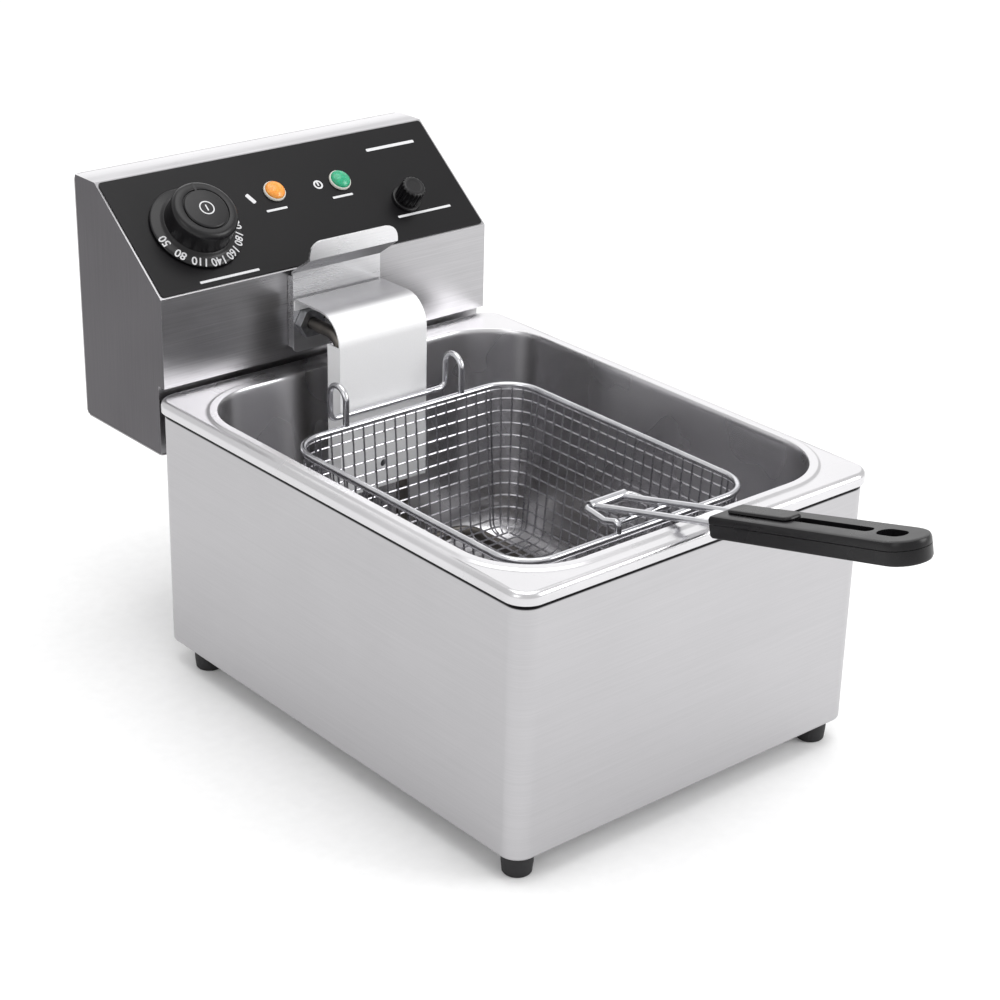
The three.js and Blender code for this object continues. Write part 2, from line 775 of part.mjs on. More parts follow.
function elementHood() {
  const half = bracket_width / 2;
  const t = hood_thick;
  const root_y = web_y - gap;
  const low_z = hood_top_z - hood_drop;
  const chain = [
    [root_y, hood_top_z - hood_root_flange], [root_y, hood_top_z],
    [hood_front_y, hood_top_z], [hood_front_y, low_z],
  ].map(([a, b]) => new THREE.Vector2(a, b));
  const bends = [2.5, hood_bend];
  const path = [chain[0], ...filletPoints(chain[0], chain[1], chain[2], bends[0], 3),
    ...filletPoints(chain[1], chain[2], chain[3], bends[1], 7), chain[3]];
  const points = path.map((point) => [point.x, point.y]);
  // the thickness lies on the inner side of the bend
  const strip = extrudeX(stripOutline(points.reverse(), t), -half, half);
  const flange_top = hood_top_z - hood_bend;
  const flanges = [-1, 1].map((side) => block(
    side > 0 ? half - t : -half, side > 0 ? half : t - half,
    hood_front_y + 0.2, hood_front_y + hood_side_depth, low_z, flange_top));
  const hole = pin(hood_hole.radius, -past, past, 16).rotateX(-Math.PI / 2)
    .translate(0, hood_front_y, low_z + hood_hole.above_edge);
  return cut(join(strip, ...flanges), hole);
}

// ---- Heating element --------------------------------------------------------------------------------
function elementTube() {
  const [outer, inner] = [tube_outer_run_x, tube_inner_run_x];
  const far = pan_front_ledge + pan_draft + pan_bottom_radius + tube_from_pan_end;
  const turn_y = riser_y - tube_turn_before_riser;
  const inside_y = face_y + tube_inside_head;
  const half = [
    [tube_exit_x, inside_y, tube_z], [tube_exit_x, riser_y, tube_z],
    [tube_exit_x, riser_y, tube_floor_z], [outer, riser_y, tube_floor_z],
    [outer, far, tube_floor_z], [inner, far, tube_floor_z], [inner, turn_y, tube_floor_z],
  ];
  const mirrored = half.slice().reverse().map(([x, y, z]) => [-x, y, z]);
  const wide = (outer - inner) / 2 - 0.01;
  const bends = [tube_bend, tube_bend, tube_bend, wide, wide, inner - 0.01];
  return wire([...half, ...mirrored], tube_radius, [...bends, ...bends.slice().reverse()], 8, 4);
}

function elementNut(x) {
  return hexPrism(nut_across, 0, nut_thick, tube_radius + gap).rotateX(Math.PI / 2)
    .translate(x, web_y - gap, tube_z);
}

function elementClamp() {
  const [outer, inner] = [tube_outer_run_x, tube_inner_run_x];
  const half = clamp_width / 2;
  const y = bulb_back_y - bulb_length - clamp_before_bulbs - half;
  const over = tube_floor_z + tube_radius + gap;
  const bar = block(-outer - 9, outer + 9, y - half, y + half, over, over + 1.5);
  const tabs = [-(outer + inner) / 2, 0, (outer + inner) / 2].map((x) =>
    block(x - 2, x + 2, y - half + 1, y + half - 1, tube_floor_z - 3, over + 0.5));
  return join(bar, ...tabs);
}

function sensingBulb(x) {
  const start_y = face_y + 20;
  const y = riser_y + 2;
  const capillary = wire([
    [x, start_y, tube_z], [x, y, tube_z], [x, y, bulb_z], [x, bulb_back_y - 5, bulb_z],
  ], capillary_radius, 6, 6, 3);
  const bulb = turned([
    [0, 0], [bulb_radius - 1, 0], [bulb_radius, 1.5], [bulb_radius, bulb_length - 1.5],
    [bulb_radius - 1, bulb_length], [0, bulb_length],
  ], 10).rotateX(Math.PI / 2).translate(x, bulb_back_y, bulb_z);
  return join(capillary, bulb);
}

// ---- Controls on the slope --------------------------------------------------------------------------
function knob() {
  const base = gap + label_thick + slide_gap;
  const top = knob_height;
  const body = turned([
    [0, top - 6], [shaft_radius + gap, top - 6], [shaft_radius + gap, base + 4], [9, base + 4],
    [9, base], [knob_skirt_radius - 0.6, base], [knob_skirt_radius, base + 0.6],
    [knob_skirt_radius, base + 1.4], [knob_skirt_radius - 0.7, base + 2.1],
    [knob_radius + 0.8, base + 2.9], [knob_radius, base + 3.8], [knob_radius - 0.8, top - 3.2],
    [knob_radius - 1.7, top - 1.2], [knob_radius - 3.6, top], [15.4, top], [15, top - 0.9],
    [0, top - 0.9],
  ], 32);
  const notch = block(-1.5, 1.5, knob_radius - 4.5, knob_radius + 2, top - 2.2, top + 2);
  return cut(body, notch);
}

function knobCap() {
  const base = knob_height - 0.9 + gap;
  return turned([[0, base], [14.4, base], [14.4, base + 0.7], [13.6, base + 1.3], [0, base + 1.5]], 28);
}

function knobShaft() {
  return pin(shaft_radius, -9, knob_height - 6 - gap, 14);
}

function thermostatBody() {
  const under = -sheet - gap;
  return turned([
    [0, under - 26], [17, under - 26], [17, under - 4], [bush_radius + 3, under - 4],
    [bush_radius + 3, under], [bush_radius, under], [bush_radius, gap + label_thick + 0.3],
    [shaft_radius + gap, gap + label_thick + 0.3], [shaft_radius + gap, -10], [0, -10],
  ], 20);
}

function lampBody() {
  const bezel = gap + label_thick + gap;
  const barrel = lamp_hole_radius - gap;
  return turned([
    [0, -22], [barrel, -22], [barrel, bezel], [lamp_rim_radius, bezel], [lamp_rim_radius, bezel + 0.8],
    [lens_radius + 0.7, bezel + 1.5], [lens_radius + gap, bezel + 1.5],
    [lens_radius + gap, bezel + 0.8], [0, bezel + 0.8],
  ], 20);
}

function lampLens() {
  const base = gap + label_thick + gap + 0.8 + gap;
  return turned([
    [0, base], [lens_radius, base], [lens_radius, base + 1], [lens_radius - 0.6, base + 2.1],
    [lens_radius - 2.4, base + 3.2], [0, base + 3.8],
  ], 20);
}

function limitBody() {
  const under = -sheet - gap;
  const barrel = reset_hole_radius - gap;
  const bore = reset_button_radius + gap;
  return turned([
    [0, under - 24], [13, under - 24], [13, under - 3], [barrel + 3, under - 3],
    [barrel + 3, under], [barrel, under], [barrel, 5], [bore, 5], [bore, -12], [0, -12],
  ], 20);
}

function resetCollar() {
  const bore = reset_hole_radius;
  const base = gap + label_thick + gap;
  return turned([
    [bore, base], [10, base], [10, base + 1.4], [9.2, base + 2.2], [bore, base + 2.2], [bore, base],
  ], 24);
}

function resetButton() {
  return turned([
    [0, -8], [reset_button_radius, -8], [reset_button_radius, 7.5],
    [reset_button_radius - 0.7, 8.2], [0, 8.4],
  ], 14);
}

function resetCap() {
  const base = gap + label_thick + gap + 2.2 + gap;
  const top = base + 12.5;
  const ridges = 18;
  const points = [];
  for (let i = 0; i < ridges * 2; i++) {
    const angle = (Math.PI * i) / ridges;
    const radius = i % 2 ? 7.6 : 8.4;
    points.push([radius * Math.cos(angle), radius * Math.sin(angle)]);
  }
  const body = extrudeZ(outline(points), base, top - 1);
  const crown = turned([[0, top - 1.5], [7.4, top - 1.5], [7.4, top - 0.6], [6.4, top], [0, top]], 24);
  const hollow = pin(reset_hole_radius + 0.2, base - 1, top - 3, 16);
  return cut(join(body, crown), hollow);
}

// ---- Inside the head ----------------------------------------------------------------------------------
function terminalBlock() {
  const y = (face_y + head_back_y) / 2 + 4;
  const base = head_bottom_z + sheet + gap + sheet + gap;
  const body = block(-30, 30, y - 10, y + 10, base, base + 18);
  const slots = [-20, -7, 7, 20].map((x) => block(x - 4, x + 4, y - 6, y + 6, base + 10, base + 20));
  return cut(body, ...slots);
}

function interlockSwitch() {
  const y = face_y + head_step + sheet + gap;
  const z = deck_z - 38;
  return join(block(-10, 10, y, y + 8, z, z + 16), block(-2, 2, y + 1, y + 7, z + 15.5, z + 19));
}

function cordGland() {
  return turned([
    [gland_bore, -9], [gland_radius, -9], [gland_radius, gap], [11, gap], [11, 4], [9.5, 5.5],
    [7.4, gland_out], [gland_bore, gland_out], [gland_bore, -9],
  ], 20).rotateX(-Math.PI / 2).translate(gland_place[0], head_back_y, gland_z);
}

function glandNut() {
  return hexPrism(22, 0, 4, gland_radius + gap).rotateX(Math.PI / 2)
    .translate(gland_place[0], head_back_y - sheet - gap, gland_z);
}

// ---- Basket -------------------------------------------------------------------------------------------
function basketLoop(inset, z) {
  return planLoop(basket_width - 2 * inset, basket_length - 2 * inset, basket_corner - inset,
    basket_middle_y, z);
}

function basketRim() {
  const sides = 8;
  const loops = [];
  for (let i = 0; i < sides; i++) {
    const angle = (2 * Math.PI * i) / sides;
    loops.push(basketLoop(rim_wire * Math.cos(angle), rim_z + rim_wire * Math.sin(angle)));
  }
  return skin(loops, true);
}

function basketMesh() {
  const top = rim_z - rim_wire - gap;
  const bottom = rim_z - basket_depth;
  const t = basket_wall;
  const round = basket_round;
  const inside = [
    basketLoop(t, top), basketLoop(basket_draft + t, bottom + round),
    basketLoop(basket_draft + round * 0.3 + t, bottom + round * 0.3 + t * 0.7),
    basketLoop(basket_draft + round + t, bottom + t),
  ];
  const outside = [
    basketLoop(basket_draft + round, bottom),
    basketLoop(basket_draft + round * 0.3, bottom + round * 0.3),
    basketLoop(basket_draft, bottom + round), basketLoop(0, top),
  ];
  return skinShell(inside, outside);
}

// One wire makes both hooks: up from the rim, over to the back, down, across and back again.
function basketHooks() {
  const y = basket_front + basket_length;
  const foot_z = rim_z + rim_wire + gap;
  const top = rim_z + hook_rise;
  const half = [
    [hook_spread, y, foot_z], [hook_spread, y, top], [hook_spread, y + hook_reach, top],
    [hook_spread, y + hook_reach, rim_z],
  ];
  const mirrored = half.slice().reverse().map(([x, a, z]) => [-x, a, z]);
  const arc = hook_reach / 2 - 0.01;
  return wire([...half, ...mirrored], rim_wire, [arc, arc, 5, 5, arc, arc], 8, 4);
}

// The loop that the handle hangs on: a bar over the rim and a pivot bar inside it.
function handleBracket() {
  const y = basket_front;
  const rest_z = pivot_z + pivot_behind_rim * Math.tan(handle_tilt)
    - (2 * rim_wire) / Math.cos(handle_tilt) - gap;
  const leg = bracket_bar_half + 3;
  const half = [
    [leg, y, rim_z + rim_wire + gap], [leg, y, rest_z], [leg, y + 11, pivot_z],
    [bracket_bar_half, pivot_y, pivot_z],
  ];
  const mirrored = half.slice().reverse().map(([x, a, z]) => [-x, a, z]);
  const loop = wire([...half, ...mirrored], rim_wire, [2.2, 6, 3, 3, 6, 2.2], 8, 3);
  const rest = pin(rim_wire, -leg, leg, 8).rotateY(Math.PI / 2).translate(0, y, rest_z);
  return join(loop, rest);
}

// ---- Handle, in its own frame: Y runs out along the grip from the pivot, Z is its upper side ----------
function handleWires() {
  const sleeve_radius = rim_wire + gap + 1.2;
  const sleeve_half = bracket_bar_half - rim_wire - slide_gap;
  const sleeve = turned([
    [rim_wire + gap, -sleeve_half], [sleeve_radius, -sleeve_half], [sleeve_radius, sleeve_half],
    [rim_wire + gap, sleeve_half], [rim_wire + gap, -sleeve_half],
  ], 14).rotateY(Math.PI / 2);
  const wires = [-1, 1].map((side) => wire([
    [side * handle_wire_x, sleeve_radius - 0.9, 0],
    [side * handle_wire_x, grip_start + grip_socket - 1, 0],
  ], rim_wire, 1, 10));
  return join(sleeve, ...wires);
}

function handleClip() {
  const half = handle_wire_x - rim_wire - gap;
  return block(-half, half, grip_start - 17, grip_start - gap, -0.7, 0.7);
}

function gripOutline(inset) {
  const half = grip_half_width - inset;
  const front = grip_start + inset;
  const tip = handle_length - inset;
  const shape = new THREE.Shape();
  shape.moveTo(-half + 1.5, front);
  shape.lineTo(half - 1.5, front);
  shape.lineTo(half, tip - half);
  shape.absarc(0, tip - half, half, 0, Math.PI, false);
  shape.closePath();
  return shape;
}

// One half of the grip between two heights, its outer edges bevelled.
function gripHalf(low, high, bevel_side) {
  const bevel = grip_bevel;
  const loops = [];
  const profile = bevel_side > 0
    ? [[0, low], [0, high - bevel], [bevel * 0.3, high - bevel * 0.3], [bevel, high]]
    : [[bevel, low], [bevel * 0.3, low + bevel * 0.3], [0, low + bevel], [0, high]];
  for (const [inset, z] of profile) {
    loops.push(gripOutline(inset).getPoints(7).slice(0, -1).map(({ x, y }) => new THREE.Vector3(x, y, z)));
  }
  return skin(loops);
}

function slotOutline(width, length, middle_y) {
  return roundedOutline(rectangle(width, length, 0, middle_y), width / 2 - 0.01, 5);
}

function gripCuts() {
  const sockets = [-1, 1].map((side) => wire([
    [side * handle_wire_x, grip_start - 5, 0], [side * handle_wire_x, grip_start + grip_socket, 0],
  ], rim_wire + gap, 1, 10));
  const middle = handle_length - hang_hole.from_tip - hang_hole.length / 2;
  const hole = extrudeZ(slotOutline(hang_hole.width, hang_hole.length, middle),
    -grip_below - 5, grip_above + 10);
  return [...sockets, hole];
}

function gripUpper() {
  const body = gripHalf(gap / 2, grip_above, 1);
  const start = handle_length - grip_slot.from_tip;
  const slot = extrudeZ(slotOutline(grip_slot.width, grip_slot.length, start + grip_slot.length / 2),
    grip_above - grip_slot.depth, 20);
  return cut(body, ...gripCuts(), slot);
}

function gripLower() {
  return cut(gripHalf(-grip_below, -gap / 2, -1), ...gripCuts());
}

function gripStrip() {
  const [width, length] = grip_strip_size;
  const low = grip_above + gap;
  const plan = (inset, z) => planLoop(width - 2 * inset, length - 2 * inset, 4 - inset,
    grip_start + 6 + length / 2, z, 3);
  return skin([plan(0, low), plan(0, low + grip_strip_rise - 1.4), plan(0.5, low + grip_strip_rise - 0.4),
    plan(1.6, low + grip_strip_rise)]);
}

function handleGroup() {
  const group = new THREE.Group();
  group.position.set(0, pivot_y, pivot_z);
  group.rotation.set(-handle_tilt, 0, Math.PI);
  add(group, 'handle_wires', handleWires(), chrome_wire);
  add(group, 'handle_clip', handleClip(), bright_strip);
  add(group, 'grip_lower', gripLower(), black_plastic);
  add(group, 'grip_upper', gripUpper(), black_plastic);
  add(group, 'grip_strip', gripStrip(), black_plastic);
  return group;
}

function controlsGroup() {
  const group = slopeGroup();
  const place = (name, geometry, material, [x, y]) => add(group, name, geometry.translate(x, y, 0), material);
  add(group, 'panel_label', panelLabel(), label_black);
  place('knob', knob(), black_plastic, knob_place);
  place('knob_cap', knobCap(), black_plastic, knob_place);
  place('knob_shaft', knobShaft(), zinc, knob_place);
  place('thermostat_body', thermostatBody(), zinc, knob_place);
  for (const [name, lens] of [['orange', orange_lens], ['green', green_lens]]) {
    place(`lamp_${name}_body`, lampBody(), white_plastic, lamp_places[name]);
    place(`lamp_${name}_lens`, lampLens(), lens, lamp_places[name]);
  }
  place('limit_switch_body', limitBody(), zinc, reset_place);
  place('reset_collar', resetCollar(), black_plastic, reset_place);
  place('reset_button', resetButton(), red_plastic, reset_place);
  place('reset_cap', resetCap(), black_plastic, reset_place);
  return group;
}

// ---- The whole fryer ------------------------------------------------------------------------------------
function buildCasing(group) {
  add(group, 'casing', casing(), brushed);
  add(group, 'base_plate', basePlate(), zinc);
  for (const [name, [x, y]] of Object.entries(foot_places)) {
    add(group, `foot_${name}`, foot(), rubber).position.set(x, y, 0);
    add(group, `foot_screw_${name}`, footScrew(), zinc).position.set(x, y, 0);
  }
  add(group, 'head_rail_left', rail(-rail_x), zinc);
  add(group, 'head_rail_right', rail(rail_x), zinc);
}

function buildHead(group) {
  add(group, 'head_shell', headShell(), brushed);
  add(group, 'head_back_cover', backCover(), dark_brushed);
  add(group, 'head_bottom_plate', bottomPlate(), dark_brushed);
  add(group, 'head_hook_left', headHook(-rail_x), zinc);
  add(group, 'head_hook_right', headHook(rail_x), zinc);
  cover_screw_places.forEach(([x, z], i) =>
    add(group, `cover_screw_${i + 1}`, coverScrew(), zinc).position.set(x, head_back_y, z));
  add(group, 'hanger_bracket', hangerBracket(), bright_strip);
  add(group, 'element_hood', elementHood(), bright_strip);
  add(group, 'heating_element', elementTube(), element_steel);
  add(group, 'element_nut_left', elementNut(-tube_exit_x), zinc);
  add(group, 'element_nut_right', elementNut(tube_exit_x), zinc);
  add(group, 'element_clamp', elementClamp(), zinc);
  add(group, 'thermostat_bulb', sensingBulb(-capillary_x), zinc);
  add(group, 'limit_bulb', sensingBulb(capillary_x), zinc);
  add(group, 'terminal_block', terminalBlock(), white_plastic);
  add(group, 'interlock_switch', interlockSwitch(), black_plastic);
  add(group, 'cord_gland', cordGland(), black_plastic);
  add(group, 'gland_nut', glandNut(), black_plastic);
  group.add(controlsGroup());
}

function buildBasket(group) {
  add(group, 'basket_rim', basketRim(), chrome_wire);
  add(group, 'basket_mesh', basketMesh(), chrome_wire);
  add(group, 'basket_hooks', basketHooks(), chrome_wire);
  add(group, 'handle_bracket', handleBracket(), chrome_wire);
  group.add(handleGroup());
}

const stand = new THREE.Group();
stand.position.y = -middle_y;
buildCasing(stand);
add(stand, 'oil_pan', oilPan(), pan_steel);
buildHead(stand);
buildBasket(stand);

const fryer = new THREE.Group();
fryer.add(stand);
export default fryer;
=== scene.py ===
"""Countertop deep fryer: the looks of each piece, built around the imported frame.

Lengths below are millimetres. Points are written in the stand's own frame, where X = 0 is the
middle, Y = 0 is the casing's front face and Z = 0 is the worktop, and matrices take them to metres.
"""
import json
import math

import bmesh
import bpy
from mathutils import Matrix, Vector


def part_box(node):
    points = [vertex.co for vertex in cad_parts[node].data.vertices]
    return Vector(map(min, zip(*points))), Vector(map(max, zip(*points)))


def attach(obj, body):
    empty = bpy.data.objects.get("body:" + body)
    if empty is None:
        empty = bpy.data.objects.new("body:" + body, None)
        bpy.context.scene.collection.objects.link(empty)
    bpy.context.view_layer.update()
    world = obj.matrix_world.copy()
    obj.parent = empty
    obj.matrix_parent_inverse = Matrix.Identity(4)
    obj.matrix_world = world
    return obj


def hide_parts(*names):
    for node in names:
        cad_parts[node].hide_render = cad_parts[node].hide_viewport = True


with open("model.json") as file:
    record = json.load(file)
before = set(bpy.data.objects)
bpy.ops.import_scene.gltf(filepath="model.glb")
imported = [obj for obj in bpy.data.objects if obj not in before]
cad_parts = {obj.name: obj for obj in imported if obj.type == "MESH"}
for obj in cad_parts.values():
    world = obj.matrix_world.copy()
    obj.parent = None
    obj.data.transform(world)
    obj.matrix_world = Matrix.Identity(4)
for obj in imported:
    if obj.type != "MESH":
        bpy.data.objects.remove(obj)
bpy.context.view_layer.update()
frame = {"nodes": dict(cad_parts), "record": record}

# ---- Sizes taken from the frame -------------------------------------------------------------------
MM = 1000


def low(node):
    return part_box(node)[0] * MM


def high(node):
    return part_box(node)[1] * MM


PAN_BEAD = 1.2  # raised edge round the pan's opening
FRONT = low("casing").y
DECK = high("oil_pan").z - PAN_BEAD
CASING_LOW = low("casing").z
CASING_TOP = high("casing").z
CASING_WIDTH = high("casing").x - low("casing").x
CASING_DEPTH = high("casing").y - low("casing").y
FACE = low("head_shell").y - FRONT
HEAD_TOP = high("head_shell").z
HEAD_BACK = high("head_back_cover").y - FRONT
HEAD_BOTTOM = low("head_bottom_plate").z
HOOD_TOP = high("element_hood").z

# ---- Sizes of the pieces --------------------------------------------------------------------------
SHEET = 1.0
GAP = 0.3
SLIDE_GAP = 0.6
CASING_CORNER = 12
CASING_FLANGE = 30
FOOT_RADIUS = 9.5
SCREW_RADIUS = 2.2

LIP_DROP = 7.5
LIP_ROOM = 1.2  # between the casing's wall and the deck's turned-down lip
DECK_ROLL = 3.6  # rounded outer edge of the deck
PAN_SIZE = (248, 306)
PAN_FRONT = 15
PAN_MIDDLE = PAN_FRONT + PAN_SIZE[1] / 2
PAN_CORNER = 45
PAN_DEPTH = 145
PAN_DRAFT = 4
PAN_EDGE = 4  # rolled edge that leads down into the pan
PAN_FLOOR_RADIUS = 20

SLOPE_LOW = DECK + 61.5  # fold between the head's face and the control slope
SLOPE_RUN = 94.7 - 24  # the head's depth less its level top
SLOPE_RISE = HEAD_TOP - SLOPE_LOW
SLOPE_ANGLE = math.atan2(SLOPE_RISE, SLOPE_RUN)
LABEL_TOP = 0.8  # the film's face above the slope

KNOB_PLACE = (-80, 43)  # places on the slope: across, and up from its lower fold
LAMP_PLACES = {"orange": (-12, 57.5), "green": (39, 55.5)}
RESET_PLACE = (79, 31)
PRINTED_BARS = (  # length, width and place
    (16, 1.6, (-17, 44.5)), (16, 1.6, (35, 44)), (44, 1.7, (88, 19.5)), (44, 1.7, (-75, 5.2)),
    (40, 2.2, (92, 74)))
POINTER_PLACE = (-31, 56)
LAMP_SIGN_PLACE = (22, 56)
PRINT_THICK = 0.08
NUMBER_SIZE = 7.6
NUMBER_STEP = 27  # degrees
KNOB_SKIRT = 30.2
KNOB_RADIUS = 23
KNOB_HEIGHT = 22
SKIRT_FALL = math.atan2(0.7, 3.8)  # the skirt falls away to its edge
LAMP_RIM = 7.6
LENS_RADIUS = 6.75
RESET_RADIUS = 8
RESET_RIDGES = 18
GLAND_PLACE = (70, 26)  # across, and up from the head's lower edge

TUBE_RADIUS = 4
TUBE_EXIT = (24, 28)  # across, and above the deck
TUBE_BEND = 14
TUBE_INNER_RUN = 28
TUBE_OUTER_RUN = 80
TUBE_TURN = 46  # in front of the riser
CAPILLARY_X = 9
CAPILLARY_RADIUS = 1.2
BULB_RADIUS = 3
BULB_LENGTH = 100
BULB_BEFORE_RISER = 60
HOOD_SHEET = 1.2

RIM_WIRE = 2
RIM_Z = DECK - 17
BASKET_SIZE = (181, 217)
BASKET_FRONT = 50
BASKET_MIDDLE = BASKET_FRONT + BASKET_SIZE[1] / 2
BASKET_CORNER = 24
BASKET_DEPTH = 100
BASKET_DRAFT = 7
BASKET_ROUND = 7  # bend between the basket's walls and its floor
MESH_WIRE = 0.6
MESH_PITCH = 8.3
HOOK_SPREAD = 46
HOOK_REACH = 16.5
HOOK_RISE = 25

PIVOT_Y = 80
PIVOT_Z = RIM_Z + 5
BAR_HALF = 16.5  # half length of the bar that the handle turns on
HANDLE_TILT = math.radians(14)
HANDLE_WIRE_X = 11
GRIP_START = 96

# ---- Frames: stand, control slope and handle ------------------------------------------------------
STAND = Matrix.Translation((0, FRONT / MM, 0)) @ Matrix.Scale(1 / MM, 4)
SLOPE = STAND @ Matrix.Translation((0, FACE, SLOPE_LOW)) @ Matrix.Rotation(SLOPE_ANGLE, 4, "X")
HANDLE = (STAND @ Matrix.Translation((0, PIVOT_Y, PIVOT_Z)) @ Matrix.Rotation(-HANDLE_TILT, 4, "X")
          @ Matrix.Rotation(math.pi, 4, "Z"))


def on_slope(place, up=0.0):
    return SLOPE @ Matrix.Translation((place[0], place[1], up))


# ---- Outlines -------------------------------------------------------------------------------------
def arc(radius, start, end, steps, centre=(0, 0)):
    """Points of an arc in the plane, angles in degrees."""
    return [(centre[0] + radius * math.cos(math.radians(start + (end - start) * i / steps)),
             centre[1] + radius * math.sin(math.radians(start + (end - start) * i / steps)))
            for i in range(steps + 1)]


CORNERS = ((1, 1), (-1, 1), (-1, -1), (1, -1))


def plan_loop(width, length, radius, middle, z, steps=16):
    """A rounded rectangle seen from above, at one height."""
    points = []
    for quarter, (sx, sy) in enumerate(CORNERS):
        centre = (sx * (width / 2 - radius), middle + sy * (length / 2 - radius))
        points += [(x, y, z) for x, y in arc(radius, quarter * 90, quarter * 90 + 90, steps, centre)]
    return points


def bend(corners, radii, steps=8):
    """A path through corners, each rounded by its radius."""
    corners = [Vector(c) for c in corners]
    path = [corners[0]]
    for before, here, after, radius in zip(corners, corners[1:], corners[2:], radii):
        back, ahead = (before - here).normalized(), (after - here).normalized()
        half = back.angle(ahead) / 2
        middle = (back + ahead).normalized()
        centre = here + middle * (radius / math.sin(half))
        side = (back - ahead).normalized()
        sweep = math.pi / 2 - half
        for i in range(steps + 1):
            angle = sweep * (1 - 2 * i / steps)
            path.append(centre - middle * (radius * math.cos(angle)) + side * (radius * math.sin(angle)))
    return path + [corners[-1]]


# ---- Meshes ---------------------------------------------------------------------------------------
def loft(loops, ring=False):
    """Joins loops of equal length by quads. A ring joins its last loop to its first."""
    count = len(loops[0])
    points = [p for loop in loops for p in loop]
    faces = []
    for row in range(len(loops) if ring else len(loops) - 1):
        here, there = row * count, (row + 1) % len(loops) * count
        for i in range(count):
            j = (i + 1) % count
            faces.append((here + i, here + j, there + j, there + i))
    if not ring:
        faces.append(tuple(reversed(range(count))))
        faces.append(tuple(range(len(points) - count, len(points))))
    return points, faces


def turned(profile, sides=72):
    """A turned shape about Z from (radius, height) points, from axis to axis or as a closed ring."""
    loops = []
    for radius, height in profile:
        loops.append([(x, y, height) for x, y in arc(max(radius, 1e-4), 0, 360, sides)[:-1]])
    closed = profile[0] == profile[-1] and profile[0][0] > 0
    return loft(loops[:-1], True) if closed else loft(loops)


def add_object(name, data):
    thing = bpy.data.objects.new(name, data)
    bpy.context.scene.collection.objects.link(thing)
    return thing


def add_piece(name, parts, matrix, material, soften=0.0, crease=35, segments=2):
    """One object from one or more (points, faces), placed by a matrix, with its edges softened."""
    mesh = bpy.data.meshes.new(name)
    points, faces = [], []
    for part_points, part_faces in parts:
        faces += [tuple(i + len(points) for i in face) for face in part_faces]
        points += [tuple(p) for p in part_points]
    mesh.from_pydata(points, [], faces)
    piece = add_object(name, mesh)
    return tidy_piece(piece, matrix, material, soften, crease, segments)


def tidy_piece(piece, matrix, material, soften, crease, segments=2):
    shape = bmesh.new()
    shape.from_mesh(piece.data)
    bmesh.ops.remove_doubles(shape, verts=shape.verts, dist=1e-3 / matrix.median_scale / MM)
    bmesh.ops.dissolve_degenerate(shape, edges=shape.edges, dist=1e-4 / matrix.median_scale / MM)
    bmesh.ops.recalc_face_normals(shape, faces=shape.faces)
    if soften:
        sharp = [e for e in shape.edges
                 if len(e.link_faces) == 2 and e.calc_face_angle(0) > math.radians(crease)]
        bmesh.ops.bevel(shape, geom=sharp, offset=soften, segments=segments, profile=0.5,
                        affect="EDGES", clamp_overlap=True)
    shape.to_mesh(piece.data)
    shape.free()
    piece.data.transform(matrix)
    return settle(piece, material, crease)


def settle(piece, material, crease=35):
    """Smooth shading that keeps flat faces flat, and the material."""
    for face in piece.data.polygons:
        face.use_smooth = True
    piece.data.set_sharp_from_angle(angle=math.radians(crease))
    weighted = piece.modifiers.new("flat faces stay flat", "WEIGHTED_NORMAL")
    weighted.keep_sharp = True
    weighted.weight = 100
    apply_modifiers(piece)
    if material:
        piece.data.materials.clear()
        piece.data.materials.append(material)
    return piece


def apply_modifiers(piece):
    bpy.context.view_layer.update()
    graph = bpy.context.evaluated_depsgraph_get()
    done = bpy.data.meshes.new_from_object(piece.evaluated_get(graph))
    piece.modifiers.clear()
    piece.data = done
    done.name = piece.name


def softened(node, material, soften=0.25, crease=35, segments=2):
    """A copy of a CAD node with merged corners and rounded edges, which stands for the node."""
    piece = add_object(node + "_finished", frame["nodes"][node].data.copy())
    shape = bmesh.new()
    shape.from_mesh(piece.data)
    bmesh.ops.remove_doubles(shape, verts=shape.verts, dist=2e-6)
    bmesh.ops.dissolve_limit(shape, angle_limit=math.radians(1), verts=shape.verts, edges=shape.edges)
    shape.to_mesh(piece.data)
    shape.free()
    return tidy_piece(piece, Matrix.Identity(4), material, soften / MM, crease, segments)


def stands_for(piece, body, slot, *nodes):
    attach(piece, body)
    if nodes:
        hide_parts(*nodes)
    return piece


# ---- Shapes made by node trees --------------------------------------------------------------------
def geometry_tree(name, inputs):
    """An empty geometry tree with a geometry in and out, and named inputs for its sizes."""
    tree = bpy.data.node_groups.new(name, "GeometryNodeTree")
    tree.interface.new_socket("Geometry", in_out="INPUT", socket_type="NodeSocketGeometry")
    tree.interface.new_socket("Geometry", in_out="OUTPUT", socket_type="NodeSocketGeometry")
    for label, kind in inputs.items():
        tree.interface.new_socket(label, in_out="INPUT", socket_type="NodeSocket" + kind)
    return tree


def node(tree, kind, inputs=None, **settings):
    """Adds a node with its settings, and sets or links its inputs."""
    item = tree.nodes.new(kind)
    for setting, value in settings.items():
        setattr(item, setting, value)
    for socket, value in (inputs or {}).items():
        if isinstance(value, bpy.types.NodeSocket):
            tree.links.new(value, item.inputs[socket])
        else:
            item.inputs[socket].default_value = value
    return item


